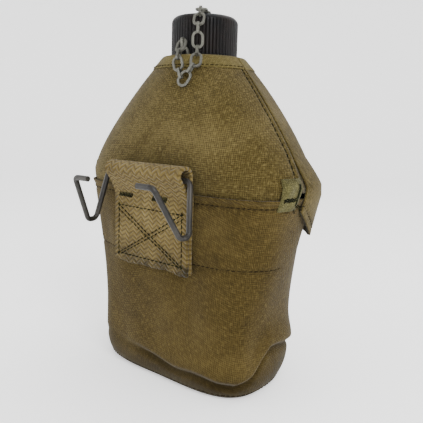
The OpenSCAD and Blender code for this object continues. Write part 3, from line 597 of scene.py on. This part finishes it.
# %% Cloth builder
def grid_object(name, points, material, close=False, shade=None, thick=CANVAS_T, cap=False,
                levels=1, offset=-1.0):
    """A sheet from rows of points in mm; cap closes the first row to its middle."""
    rows, cols = points.shape[:2]
    flat = points.reshape(-1, 3) * MM
    across = np.linalg.norm(np.diff(points, axis=1), axis=2)
    u = np.concatenate([np.zeros((rows, 1)), np.cumsum(across, axis=1)], axis=1)
    u = u - u[:, cols // 2: cols // 2 + 1]
    along = np.linalg.norm(np.diff(points, axis=0), axis=2)
    v = np.concatenate([np.zeros((1, cols)), np.cumsum(along, axis=0)], axis=0)
    mesh = bmesh.new()
    verts = [mesh.verts.new(p) for p in flat]
    uv_layer = mesh.loops.layers.uv.new("UVMap")
    wide = cols if close else cols - 1
    for i in range(rows - 1):
        for j in range(wide):
            n = (j + 1) % cols
            corners = ((i, j), (i, n), (i + 1, n), (i + 1, j))
            face = mesh.faces.new([verts[r * cols + c] for r, c in corners])
            for loop, (r, c) in zip(face.loops, corners):
                step = across[r, -1] if close and c == 0 and n == 0 else 0.0
                loop[uv_layer].uv = ((u[r, -1] + step if step else u[r, c]) * MM, v[r, c] * MM)
            face.smooth = True
    if cap:
        middle = mesh.verts.new(flat[:cols].mean(axis=0))
        for j in range(wide):
            face = mesh.faces.new([middle, verts[(j + 1) % cols], verts[j]])
            for loop in face.loops:
                loop[uv_layer].uv = loop.vert.co.xy
            face.smooth = True
    data = bpy.data.meshes.new(name)
    mesh.to_mesh(data)
    mesh.free()
    layer = data.attributes.new("shade", "FLOAT", "POINT")
    values = np.zeros(len(data.vertices))
    if shade is not None:
        values[:rows * cols] = shade.ravel()
        if cap:
            values[rows * cols] = shade[0].mean()
    layer.data.foreach_set("value", values.astype(np.float32))
    piece = bpy.data.objects.new(name, data)
    bpy.context.scene.collection.objects.link(piece)
    data.materials.append(material)
    if thick:
        solid = piece.modifiers.new("thickness", "SOLIDIFY")
        solid.thickness = thick * MM
        solid.offset = offset
        solid.use_even_offset = False
    if levels:
        smooth = piece.modifiers.new("smooth", "SUBSURF")
        smooth.levels = smooth.render_levels = levels
    return piece


def surface_area(piece):
    """Area of a sheet's own faces, before it has thickness, in square metres."""
    return sum(face.area for face in piece.data.polygons)


def declare_sheet(piece):
    """Prints a sheet's flat size and cloth area, taken from its own mesh."""
    made = surface_area(piece)
    corners = [loop.uv for loop in piece.data.uv_layers["UVMap"].data]
    width, length = (abs(max(c) - min(c)) for c in zip(*corners))
    length = max(length, made / width)
    print(f"{piece.name}: flat {width * 1000:.0f} x {length * 1000:.0f} mm,",
          f"cloth {made * 1e4:.0f} cm2")


def settle_sheet(piece, node):
    """A sheet that stays on the canteen in place of a CAD node."""
    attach(piece, "canteen")
    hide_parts(node)
    declare_sheet(piece)


# %% [markdown]
# ## Pocket
# The lower half is one bag of duck, sewn to a round-cornered base. The base has sagged: a
# deep crease runs round just above it, where the cloth folds over its own seam, and soft
# dents lie under the belt loop. The folds are moved in by formula, as a sculptor would
# with a brush, because a simulation would lose the sewn lines.

# %% Pocket cloth
def crease_height(angle):
    """Height of the crease above the base: low at the belt side, high at the ridges."""
    turns = (0, 20, 60, 90, 140, 180, 235, 268, 300, 330, 345, 360)
    heights = (27, 25, 17, 14, 14, 17, 20, 17, 12, 10.5, 16, 27)
    return np.interp(angle % 360.0, turns, heights)


def crease_strength(angle):
    """Strong at the right-hand half of the belt side, faint at the left and in front."""
    turns = (0, 30, 60, 90, 140, 180, 235, 250, 268, 300, 360)
    shares = (1.0, 0.9, 0.5, 0.35, 0.35, 0.3, 0.05, 0.15, 0.8, 1.0, 1.0)
    return np.interp(angle % 360.0, turns, shares)


def pocket_push(angle, z):
    """How far the pocket's cloth stands out, and the painted shade of its creases, seams and hem.
    """
    around = np.radians(angle)
    lower = share(z, 4.0, 20.0) * share(HEM_Z - z, 1.0, 26.0)
    out = 0.9 * lower * ring_waves(11, around, z / 26.0, (2, 3, 4, 5, 7))
    out = out + 0.4 * lower * ring_waves(12, around, z / 13.0, (6, 9, 11, 14))
    line = crease_height(angle) + 1.2 * np.sin(5.0 * around) + 0.7 * np.sin(11.0 * around + 1.0)
    below = line - z
    lip = 2.6 * fold(np.minimum(below + 2.4, 0.0), 9.0) * share(below, 1.0, -2.4)
    groove = 2.0 * fold(below - 1.6, 2.2) * share(z, 0.3, 6.0)
    strength = crease_strength(angle) * (0.9 + 0.1 * np.sin(7.0 * around))
    out = out + strength * (lip - groove)
    seam = fold(z - BACK_SEAM_Z, 1.2) * share(-np.sin(around), 0.0, 0.1)
    hem = fold(z - (HEM_Z - 5.0), 1.0)
    out = out - 0.5 * seam - 0.4 * hem + 0.7 * share(z, HEM_Z - 2.4, HEM_Z - 0.9)
    # Painted shade: dark in the crease's groove and on the cloth below it, and along the back seam
    # and the hem's stitch row.
    shade = 0.9 * strength * fold(below - 1.4, 1.8) + 0.55 * strength * share(below, 0.0, 3.0)
    shade = shade + 0.45 * seam + 0.35 * hem
    return out, np.clip(shade, 0.0, 1.0)


pocket_angles = even_angles(0, 360, 321, 70)[:-1]
pocket_heights = np.concatenate([
    np.linspace(0.05, 4, 6), np.linspace(4.8, 36, 42), np.linspace(38, HEM_Z - 8, 40),
    np.linspace(HEM_Z - 7.4, HEM_Z, 13)])
A, Z = np.meshgrid(pocket_angles, pocket_heights)
push, dark = pocket_push(A, Z)
wall_points = skin(A, Z, -push)
foot = skin(pocket_angles, 0.05, 0.0)
BASE_RINGS, BASE_RISE = (0.25, 0.5, 0.75, 0.93), 1.4
base_rows = [foot * np.array([s, s, 1.0]) + np.array([0, 0, BASE_RISE * (1 - s)])
             for s in BASE_RINGS]
cloth_rows = np.concatenate([np.array(base_rows), wall_points])
# The base faces down and gets an even painted shade of 0.5.
dark_rows = np.concatenate([np.full((len(BASE_RINGS), len(pocket_angles)), 0.5), dark])
pocket = grid_object("pocket_cloth", cloth_rows, canvas_low, close=True, shade=dark_rows,
                     thick=1.1, cap=True, levels=0)
settle_sheet(pocket, "cover_pocket")

# %% [markdown]
# ## Upper back panel
# One piece of duck covers the belt side from inside the pocket's hem up to the collar. It
# is faded, nearly smooth, and puckers a little where the shoulder seams pull.

# %% Back panel
SEAM_ANGLE = 3.4


def panel_push(angle, z):
    """Shallow puckers near both seams and at the collar, and painted shade in the seams and at the
    pocket's hem.
    """
    around = np.radians(angle)
    free = share(z, HEM_Z - 2, HEM_Z + 14) * share(COLLAR_Z - z, 0.0, 16.0)
    out = 0.45 * free * waves(21, 4.0 * around, z / 22.0, 6, 0.6, 1.8)
    ridge = np.minimum(np.abs(angle - 360.0), np.abs(angle - 180.0))
    pucker = fold(ridge - 8.0, 6.0) * np.sin(z / 2.6 + 2.0 * waves(22, around, z / 9.0))
    seam = fold(ridge - SEAM_ANGLE, 0.9)
    out = out + 0.22 * free * pucker - 0.45 * seam + 0.35 * fold(ridge - 1.0, 1.2)
    # Painted shade in the seam grooves, and a painted shadow just above the pocket's hem and below
    # it.
    return out, np.clip(0.35 * seam + 0.15 * share(HEM_Z + 5 - z, 0, 5), 0, 1)


panel_angles = even_angles(180, 360, 221)
panel_heights = np.concatenate([np.linspace(BACK_SEAM_Z, HEM_Z, 8),
                                np.linspace(HEM_Z + 1, COLLAR_Z, 84)])
A, Z = np.meshgrid(panel_angles, panel_heights)
push, dark = panel_push(A, Z)
push = np.where(Z < HEM_Z + 1, np.minimum(push, -0.35), push)
back_panel = grid_object("back_panel_cloth", skin(A, Z, PANEL_INSET - push), canvas_top,
                         shade=dark, thick=1.0, levels=0)
settle_sheet(back_panel, "cover_back_panel")


# %% [markdown]
# ## Flaps
# Two flaps close the front. Each is sewn to the back panel along the shoulder ridge, hangs
# down outside the pocket, and is held there by a snap. A flap has to fold back when it is
# opened.

# %% Flap cloth
FLAP_FIRST, FLAP_LAST, FLAP_SHIFT, FLAP_HEM = 1.2, 90.0, 0.6, 4.5
SIDES = {"right": 1, "left": -1}
FLAP_SEED = {"right": 31, "left": 37}
joints = {joint["name"]: joint for joint in frame["joints"]}


def flap_low(angle):
    """Height of a flap's lower edge: highest at the ridge, level over the front."""
    return FLAP_LOW_Z + FLAP_CORNER * (1 - share(angle, 0, FLAP_CORNER_ANGLE)) ** 2


def flap_inset(z, angle):
    """The flap's depth: close to the pocket at the ridge, standing off it over the snaps."""
    stand = CANVAS_T + FLAP_STAND * (0.3 + 0.7 * share(angle, 3.0, 26.0))
    return -stand + (PANEL_INSET + stand) * share(z, HEM_Z, SHOULDER_Z + FLAP_SETTLE)


def flap_ripple(seed, angle, z):
    """Soft waves of a flap's cloth."""
    return waves(seed, 5.0 * np.radians(angle), z / 24.0, 6, 0.6, 1.8)


def flap_points(angles, top, rows, depth, seed=None, low=None):
    """Rows of a right-hand flap from its lower edge to a top height."""
    steps = np.linspace(0, 1, rows)
    low_edge = flap_low(angles) if low is None else np.full(len(angles), low)
    Z = low_edge[None, :] + (top - low_edge[None, :]) * steps[:, None]
    A = np.broadcast_to(angles[None, :], Z.shape)
    out = 0.0
    if seed:
        free = share(COLLAR_Z - Z, 0.0, 16.0)
        out = 0.5 * free * flap_ripple(seed, A, Z)
        hem = fold(Z - low_edge - FLAP_HEM, 1.0)
        out = out - 0.3 * hem + 0.35 * fold(A - 4.0, 4.0)
    points = skin(A, Z, flap_inset(Z, A) + depth - out)
    points[..., 0] += FLAP_SHIFT * (A - angles[0]) / (angles[-1] - angles[0])
    return points, Z


def mirrored(points):
    """The same rows on the left-hand side, still facing outwards."""
    return (points * np.array([-1, 1, 1]))[:, ::-1]


def blend_fold(piece, side):
    """Bakes the piece's transform into its mesh; the direction across the fold line is worked out
    but not used.
    """
    joint = joints[f"flap_{side}_fold"]
    axis = Vector(joint["axis"]).normalized()
    across = axis.cross(Vector((SIDES[side], 0, 0))).normalized()
    if across.y < 0:
        across = -across
    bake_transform(piece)


def settle_flap(piece, node, side):
    """A flap's sheet in place of a CAD node."""
    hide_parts(node)
    blend_fold(piece, side)
    declare_sheet(piece)


for side, sign in SIDES.items():
    points, Z = flap_points(even_angles(FLAP_FIRST, FLAP_LAST, 121), COLLAR_Z, 96, 0.0,
                            seed=FLAP_SEED[side])
    # Painted shade along the groove of the flap's hem.
    dark = np.clip(0.5 * fold(Z - Z[0][None, :] - FLAP_HEM, 1.2), 0, 1)
    if sign < 0:
        points, dark = mirrored(points), dark[:, ::-1]
    flap = grid_object(f"flap_{side}_cloth", points, canvas_top, shade=dark, thick=1.1,
                       levels=0)
    settle_flap(flap, f"flap_{side}", side)

# %% [markdown]
# ## Felt lining
# Thick grey-tan felt keeps the water cool. It lies between canvas and bottle in four
# pieces, cut like the canvas over them. It shows when the flaps are open.

# %% Felt
FELT_TOP_Z = COLLAR_Z - 8.0
lining_heights = np.concatenate([[HEM_Z + FELT_T], np.linspace(SHOULDER_Z, FELT_TOP_Z, 30)])
A, Z = np.meshgrid(even_angles(180, 360, 91), lining_heights)
back_felt = grid_object("back_felt", skin(A, Z, LINING_INSET + 0.3), felt_cloth, thick=2.2)
settle_sheet(back_felt, "lining_back")

A, Z = np.meshgrid(even_angles(0, 360, 121)[:-1],
                   np.linspace(PANEL_INSET + 3.2, HEM_Z - PANEL_INSET - FELT_T, 34))
felt_wall = skin(A, Z, LINING_INSET + 1.0)
felt_wall[0, :, :2] *= 0.9
felt_rows = np.concatenate([felt_wall[:1] * np.array([0.45, 0.45, 1]), felt_wall])
pocket_felt = grid_object("pocket_felt", felt_rows, felt_cloth, close=True, thick=1.6, cap=True)
settle_sheet(pocket_felt, "lining_pocket")

for side, sign in SIDES.items():
    points, Z = flap_points(even_angles(FLAP_FIRST, FLAP_LAST, 51), FELT_TOP_Z, 30,
                            CANVAS_T + LAYER_GAP + 0.2, low=HEM_Z + FELT_T)
    if sign < 0:
        points = mirrored(points)
    felt = grid_object(f"flap_{side}_felt", points, felt_cloth, thick=2.1)
    settle_flap(felt, f"lining_flap_{side}", side)


# %% [markdown]
# ## Binding tape at the collar
# A light cotton tape is folded over the raw edge of the panels round the neck. Its section
# is a narrow upturned U carried round the collar; the outer leg waves a little where the
# stitching pulls it.

# %% Binding
def tape_rows(angles, shift=0.0):
    """Rows of the tape, from its outer edge over the top to its inner edge."""
    outer = PANEL_INSET - LAYER_GAP - 0.4
    inner = PANEL_INSET + CANVAS_T + LAYER_GAP + 0.4
    profile = [(COLLAR_Z - 6.6, outer - 0.15), (COLLAR_Z - 5.0, outer - 0.3),
               (COLLAR_Z - 3.0, outer), (COLLAR_Z - 0.8, outer - 0.15),
               (COLLAR_Z + 0.15, outer + 0.1),
               (COLLAR_Z + 0.62, (outer + inner) / 2), (COLLAR_Z + 0.15, inner - 0.1),
               (COLLAR_Z - 1.0, inner), (COLLAR_Z - 3.0, inner)]
    rows = []
    for k, (z, inset) in enumerate(profile):
        ripple = 0.22 * np.sin(np.radians(angles) * 37) * (k < 3) + 0.8 * (k == 0) * waves(
            41, np.radians(angles) * 6, 0 * angles, 4)
        row = skin(angles, np.minimum(z, COLLAR_Z) + 0 * angles, inset - 0.2 * (ripple if k else 0))
        row[:, 2] = z + (0.3 * ripple if k == 0 else 0.0)
        row[:, 0] += shift * np.linspace(0, 1, len(angles))
        rows.append(row)
    return np.array(rows)


neck_tape = grid_object("neck_binding_tape", tape_rows(even_angles(180, 360, 121, COLLAR_Z)),
                        tape_cloth, thick=0.4)
settle_sheet(neck_tape, "neck_binding")
for side, sign in SIDES.items():
    rows = tape_rows(even_angles(FLAP_FIRST, FLAP_LAST, 61, COLLAR_Z), FLAP_SHIFT)
    if sign < 0:
        rows = mirrored(rows)
    tape = grid_object(f"flap_{side}_binding_tape", rows, tape_cloth, thick=0.4)
    settle_flap(tape, f"flap_binding_{side}", side)


# %% [markdown]
# ## Corner patches
# A small patch is sewn over the spot where hem and shoulder seam meet, because that corner
# tears first. It is worn and greener than the cover.

# %% Patches
PATCH_START, PATCH_END, PATCH_LOW, PATCH_H = 342.0, 358.8, HEM_Z - 5.7, 17.0
PATCH_TOP = PATCH_LOW + PATCH_H
A, Z = np.meshgrid(np.linspace(PATCH_START, PATCH_END, 26), np.linspace(PATCH_LOW, PATCH_TOP, 24))
edge = np.minimum(share(A, PATCH_START, PATCH_START + 4), share(PATCH_END - A, 0, 4))
edge = np.minimum(edge, np.minimum(share(Z, PATCH_LOW, PATCH_LOW + 3),
                                   share(PATCH_TOP - Z, 0, 3)))
patch_points = skin(A, Z, -0.55 - 0.6 * edge - 0.35 * waves(51, np.radians(A) * 14, Z / 5.0))
patch_dark = 0.5 * (1 - edge)
for side, sign in SIDES.items():
    rows = patch_points if sign > 0 else mirrored(patch_points)
    patch = grid_object(f"corner_patch_{side}_cloth", rows, patch_cloth,
                        shade=patch_dark if sign > 0 else patch_dark[:, ::-1], thick=0.5)
    settle_sheet(patch, f"corner_patch_{side}")

# %% [markdown]
# ## Webbing tab
# Two layers of webbing hang on the belt side and wrap round the hook's bar at the top. The
# path is one long strip seen from its edge: up the front, over the bar, and down behind.

# %% Webbing tab
TAB_W, WEB_T, TAB_DROP, LOOP_R = 57.0, 2.3, 52.5, 3.5
TAB_FRONT_ROWS, TAB_NARROW = 34, 0.018
LOOP_Z = SHOULDER_Z + 3.5
tab_low, tab_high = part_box("hook_tab")
bar_y = tab_low.y / MM + LOOP_R + WEB_T
TAB_BACK_Y = tab_high.y / MM
FRONT_Y, INNER_Y = TAB_BACK_Y - 1.5 * WEB_T, TAB_BACK_Y - 0.5 * WEB_T


def tab_profile():
    """Middle line of the webbing as (y, z), from the front's lower edge round the bar."""
    low_z = LOOP_Z - TAB_DROP
    neck_z = LOOP_Z - (LOOP_R + WEB_T) * 2.4
    turn_r = LOOP_R + WEB_T / 2
    line = [(FRONT_Y, z) for z in np.linspace(low_z, neck_z, TAB_FRONT_ROWS)]
    line += [(FRONT_Y + (bar_y - turn_r - FRONT_Y) * t ** 1.4, neck_z + (LOOP_Z - neck_z) * t)
             for t in np.linspace(0, 1, 10)[1:-1]]
    line += [(bar_y - turn_r * math.cos(a), LOOP_Z + turn_r * math.sin(a))
             for a in np.linspace(0, math.pi, 17)]
    line += [(bar_y + turn_r + (INNER_Y - bar_y - turn_r) * t, LOOP_Z + (neck_z - LOOP_Z) * t)
             for t in np.linspace(0, 1, 10)[1:-1]]
    line += [(INNER_Y, z) for z in np.linspace(neck_z, low_z, 30)]
    return np.array(line)


def tab_bulge(x, z, down):
    """How far the front layer stands out, more towards its free lower end."""
    return (0.5 + 0.45 * 1.1 * waves(61, x / 16.0, z / 14.0, 5, 0.6, 1.6)) * down


profile = tab_profile()
xs = np.linspace(-TAB_W / 2, TAB_W / 2, 61)
tab_points = np.empty((len(profile), len(xs), 3))
tab_points[..., 0] = xs[None, :]
tab_points[..., 1] = profile[:, 0:1]
tab_points[..., 2] = profile[:, 1:2]
front_share = (np.arange(len(profile)) < TAB_FRONT_ROWS)[:, None]
drop = share(LOOP_Z - profile[:, 1:2], 0, TAB_DROP)
tab_points[..., 1] -= front_share * tab_bulge(xs[None, :], profile[:, 1:2], drop)
end_wave = 1.2 * waves(62, xs / 5.0, 0 * xs, 5, 0.6, 1.8)
tab_points[0, :, 2] += end_wave * 0.8
tab_points[1, :, 2] += end_wave * 0.4
tab_points[..., 0] *= 1 - TAB_NARROW * drop + 0.006 * np.sin(profile[:, 1:2] / 5.0)
low_dirt = 0.85 * share(drop, 0.72, 1.0)
side_dirt = 0.5 * (1 - share(TAB_W / 2 - np.abs(xs)[None, :], 0, 3.0))
tab_dark = np.clip(front_share * (low_dirt + side_dirt), 0, 1)
tab = grid_object("hook_tab_webbing", tab_points, webbing, shade=tab_dark, thick=WEB_T * 0.92,
                  offset=0.0)
settle_sheet(tab, "hook_tab")

# %% [markdown]
# ## Stitches
# Stitches repeat by the hundred along the seams, so Geometry Nodes make them. The tree
# takes a curve, lays points along it at the stitch length, turns each strand along the
# seam, and leaves it lying half sunk in the cloth. Curves are drawn on the same surface
# functions as the cloth, so every seam follows its piece.

# %% Stitch tree
def stitch_tree():
    """Strands along every curve, each a slim rounded capsule."""
    tree = bpy.data.node_groups.new("stitches", "GeometryNodeTree")
    face = tree.interface
    face.new_socket("Geometry", in_out="INPUT", socket_type="NodeSocketGeometry")
    for title, value in (("Stitch", 0.003), ("Strand", 0.0022), ("Radius", 0.0004),
                         ("Jitter", 0.12)):
        socket = face.new_socket(title, in_out="INPUT", socket_type="NodeSocketFloat")
        socket.default_value = value
    face.new_socket("Thread", in_out="INPUT", socket_type="NodeSocketMaterial")
    face.new_socket("Geometry", in_out="OUTPUT", socket_type="NodeSocketGeometry")
    add, link = tree.nodes.new, tree.links.new

    def compute(kind, operation, *values):
        node = add(kind)
        node.operation = operation
        for socket, value in zip(node.inputs, values):
            if isinstance(value, bpy.types.NodeSocket):
                link(value, socket)
            else:
                socket.default_value = value
        return node

    start, end = add("NodeGroupInput"), add("NodeGroupOutput")
    points = add("GeometryNodeCurveToPoints")
    points.mode = "LENGTH"
    link(start.outputs["Geometry"], points.inputs["Curve"])
    link(start.outputs["Stitch"], points.inputs["Length"])
    strand = add("GeometryNodeMeshCylinder")
    strand.inputs["Vertices"].default_value = 6
    strand.inputs["Side Segments"].default_value = 3
    link(start.outputs["Radius"], strand.inputs["Radius"])
    link(start.outputs["Strand"], strand.inputs["Depth"])
    place = add("GeometryNodeInputPosition")
    parts = add("ShaderNodeSeparateXYZ")
    link(place.outputs[0], parts.inputs[0])
    half = compute("ShaderNodeMath", "DIVIDE", parts.outputs["Z"], start.outputs["Strand"])
    square = compute("ShaderNodeMath", "MULTIPLY", half.outputs[0], half.outputs[0])
    thin = compute("ShaderNodeMath", "MULTIPLY_ADD", square.outputs[0], -2.2, 1.0)
    grow = add("ShaderNodeCombineXYZ")
    link(thin.outputs[0], grow.inputs[0])
    link(thin.outputs[0], grow.inputs[1])
    grow.inputs[2].default_value = 1.0
    shaped = compute("ShaderNodeVectorMath", "MULTIPLY", place.outputs[0], grow.outputs[0])
    taper = add("GeometryNodeSetPosition")
    link(strand.outputs["Mesh"], taper.inputs["Geometry"])
    link(shaped.outputs[0], taper.inputs["Position"])
    jitter = add("FunctionNodeRandomValue")
    jitter.data_type = "FLOAT_VECTOR"
    jitter.inputs["Seed"].default_value = 5
    spread = compute("ShaderNodeVectorMath", "SCALE", jitter.outputs["Value"])
    link(start.outputs["Jitter"], spread.inputs["Scale"])
    on_points = add("GeometryNodeInstanceOnPoints")
    link(points.outputs["Points"], on_points.inputs["Points"])
    link(taper.outputs["Geometry"], on_points.inputs["Instance"])
    link(points.outputs["Rotation"], on_points.inputs["Rotation"])
    wobble = add("GeometryNodeRotateInstances")
    link(on_points.outputs["Instances"], wobble.inputs["Instances"])
    link(spread.outputs["Vector"], wobble.inputs["Rotation"])
    real = add("GeometryNodeRealizeInstances")
    link(wobble.outputs["Instances"], real.inputs["Geometry"])
    smooth = add("GeometryNodeSetShadeSmooth")
    link(real.outputs["Geometry"], smooth.inputs[0])
    paint = add("GeometryNodeSetMaterial")
    link(smooth.outputs[0], paint.inputs["Geometry"])
    link(start.outputs["Thread"], paint.inputs["Material"])
    link(paint.outputs["Geometry"], end.inputs["Geometry"])
    return tree


stitches_tree = stitch_tree()


def sew(name, lines, material, stitch, strand, radius, jitter=0.12):
    """Stitches along lines of points in mm, as one plain mesh."""
    data = bpy.data.curves.new(name + "_path", "CURVE")
    data.dimensions = "3D"
    for line in lines:
        spline = data.splines.new("POLY")
        spline.points.add(len(line) - 1)
        for point, where in zip(spline.points, line):
            point.co = (*(np.asarray(where, float) * MM), 1.0)
    source = bpy.data.objects.new(name + "_path", data)
    bpy.context.scene.collection.objects.link(source)
    nodes_mod = source.modifiers.new("stitches", "NODES")
    nodes_mod.node_group = stitches_tree
    ids = {s.name: s.identifier for s in stitches_tree.interface.items_tree if s.in_out == "INPUT"}
    for title, value in (("Stitch", stitch), ("Strand", strand), ("Radius", radius),
                         ("Jitter", jitter), ("Thread", material)):
        nodes_mod[ids[title]] = value if title in ("Thread", "Jitter") else value * MM
    bpy.context.view_layer.update()
    evaluated = source.evaluated_get(bpy.context.evaluated_depsgraph_get())
    mesh = bpy.data.meshes.new_from_object(evaluated)
    source.modifiers.clear()
    bpy.data.objects.remove(source)
    mesh.name = name
    piece = bpy.data.objects.new(name, mesh)
    bpy.context.scene.collection.objects.link(piece)
    print(f"{name}: {len(mesh.polygons)} faces along {len(lines)} lines")
    return piece


def sew_on(slot, name, *sewing, **extra):
    """A sewing that stays on the canteen; its slot is not used."""
    piece = sew(name, *sewing, **extra)
    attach(piece, "canteen")


# %% [markdown]
# ## Sewing the seams
# The hem and the second row that holds the back panel are sewn in olive thread. The
# shoulder seams carry longer, darker stitches, and the tab is boxed and crossed in dark
# green, with two bar tacks under its fold.

# %% Seams on the cover
def on_pocket(angles, z, lift=0.1):
    """Points just proud of the pocket's cloth."""
    out, _ = pocket_push(angles, z + 0 * angles)
    return skin(angles, z + 0 * angles, -out - lift)


def on_panel(angles, z, lift=0.1):
    """Points just proud of the back panel's cloth."""
    angles, z = np.broadcast_arrays(np.asarray(angles, float), np.asarray(z, float))
    out, _ = panel_push(angles, z)
    return skin(angles, z, PANEL_INSET - out - lift)


HEM_ROW_Z, BACK_ROW_Z, FOOT_ROW_Z = HEM_Z - 4.2, BACK_SEAM_Z + 0.6, 3.2
round_pocket = np.linspace(0, 360, 400)
hem_lines = [on_pocket(round_pocket, HEM_ROW_Z),
             on_pocket(np.linspace(183, 357, 200), BACK_ROW_Z),
             on_pocket(round_pocket, FOOT_ROW_Z)]
sew_on("canvas", "hem_stitches", hem_lines, thread_olive, 2.9, 2.3, 0.34)

shoulder = np.linspace(PATCH_TOP - 1, COLLAR_Z - 7.0, 90)
seam_lines = [on_panel(360 - SEAM_ANGLE + 0 * shoulder, shoulder),
              on_panel(180 + SEAM_ANGLE + 0 * shoulder, shoulder)]
sew_on("canvas", "shoulder_stitches", seam_lines, thread_dark, 3.2, 2.6, 0.42)

tape_line = skin(np.linspace(184, 356, 120), COLLAR_Z - 5.4, PANEL_INSET - 0.95)
sew_on("binding", "binding_stitches", [tape_line], thread_olive, 2.6, 2.0, 0.28)

# %% [markdown]
# ## Sewing the flaps
# Each flap is hemmed along its lower edge and down its front edge.

# %% Stitches on the flaps
FRONT_ROW_X, FRONT_ROW_ANGLE = 5.0, 89.0
for side, sign in SIDES.items():
    angles = np.linspace(3.0, 88.5, 200)
    low = flap_low(angles) + FLAP_HEM
    hem_out = 0.5 * flap_ripple(FLAP_SEED[side], angles, low) - 0.3
    hem_run = skin(angles, low, flap_inset(low, angles) - hem_out - 0.1)
    hem_run[:, 0] += FLAP_SHIFT * (angles - FLAP_FIRST) / (FLAP_LAST - FLAP_FIRST)
    heights = np.linspace(FLAP_LOW_Z + 5, FELT_TOP_Z, 160)
    front = np.full(len(heights), FRONT_ROW_ANGLE)
    front_out = 0.5 * share(COLLAR_Z - heights, 0.0, 16.0) * flap_ripple(
        FLAP_SEED[side], front, heights)
    front_run = skin(front, heights, flap_inset(heights, front) - front_out - 0.1)
    front_run[:, 0] = FRONT_ROW_X
    lines = [hem_run, front_run]
    if sign < 0:
        lines = [line * np.array([-1, 1, 1]) for line in lines]
    sewing = sew(f"flap_{side}_stitches", lines, thread_olive, 2.9, 2.3, 0.34)
    blend_fold(sewing, side)

# %% [markdown]
# ## Sewing the tab and the patches
# The tab's box and cross carry the weight of a full bottle, so they are sewn close. The
# patches are darned on with a tight zigzag.

# %% Stitches on the tab and the patches
def tab_front(x, z, lift=0.12):
    """Points on the outer face of the tab's front layer."""
    x, z = np.broadcast_arrays(np.asarray(x, float), np.asarray(z, float))
    down = share(LOOP_Z - z, 0, TAB_DROP)
    y = FRONT_Y - tab_bulge(x, z, down) - WEB_T * 0.46 - lift
    return np.stack([x * (1 - TAB_NARROW * down), y, z], axis=-1)


def straight(x0, z0, x1, z1, count=40):
    """A straight line of points on the tab's front."""
    t = np.linspace(0, 1, count)
    return tab_front(x0 + (x1 - x0) * t, z0 + (z1 - z0) * t)


low_z, high_z, half = LOOP_Z - TAB_DROP + 4.5, LOOP_Z - 20.0, TAB_W / 2 - 4.0
box_lines = [straight(-half, low_z, half, low_z), straight(-half, high_z, half, high_z),
             straight(-half, low_z, -half, high_z), straight(half, low_z, half, high_z)]
for inner in (0.0, 2.6):
    box_lines.append(straight(-half + inner, low_z, half, high_z - inner))
    box_lines.append(straight(half - inner, low_z, -half, high_z - inner))
sew_on("webbing", "tab_stitches", box_lines, thread_dark, 3.0, 2.6, 0.36)

TACK_CENTRES, TACK_W, TACK_ROWS = (-18.0, 8.5), 10.0, 9
tack_lines = []
for centre in TACK_CENTRES:
    for x in centre + np.linspace(-TACK_W / 2, TACK_W / 2, TACK_ROWS):
        tack_lines.append(straight(x - 0.9, LOOP_Z - 14.2, x + 0.9, LOOP_Z - 10.6, 6))
sew_on("webbing", "bar_tacks", tack_lines, thread_dark, 1.1, 1.9, 0.5, jitter=0.2)


def patch_zigzag(sign):
    """Two tight zigzags across a patch, as one line."""
    turns = 26
    t = np.linspace(0, 1, turns * 2 + 1)
    swing = np.where(np.arange(len(t)) % 2, 0.9, -0.9)
    angle = np.concatenate([PATCH_START + 3 + (PATCH_END - PATCH_START - 6) * t,
                            np.full(len(t), PATCH_END - 3) + swing * 0.6])
    height = np.concatenate([PATCH_LOW + PATCH_H * 0.36 + swing, PATCH_LOW + 3 + (PATCH_H - 6) * t])
    line = skin(angle, height, -1.35)
    return line * np.array([sign, 1, 1])


sew_on("patch", "patch_stitches", [patch_zigzag(1), patch_zigzag(-1)], thread_dark, 1.2, 1.3,
       0.26)

# %% [markdown]
# ## Loose thread ends
# Three thread ends stick out where the right-hand patch was sewn. Each is a row of tiny
# overlapping strands from the same stitch tree, so it needs no tool of its own.

# %% Loose thread ends at the right-hand patch
def thread_tail(start, *steps):
    """A short loose thread as a smooth line from a start through relative steps."""
    knots = np.cumsum([start, *steps], axis=0)
    t = np.linspace(0, len(knots) - 1, 30)
    return np.stack([np.interp(t, range(len(knots)), knots[:, k]) for k in range(3)], axis=1)


tail_root = skin(358.0, PATCH_LOW + 3.0, -1.2)
tails = [thread_tail(tail_root, (2.6, -1.2, -0.6), (1.6, -1.4, 0.8), (1.4, -0.8, 0.4)),
         thread_tail(tail_root, (1.8, -1.6, -2.0), (1.2, -0.8, -1.6), (0.6, -1.2, -1.2)),
         thread_tail(tail_root, (-1.2, -1.8, -1.6), (0.8, -0.8, -2.2))]
sew_on("patch", "loose_threads", tails, thread_dark, 0.35, 0.75, 0.24, jitter=0.0)
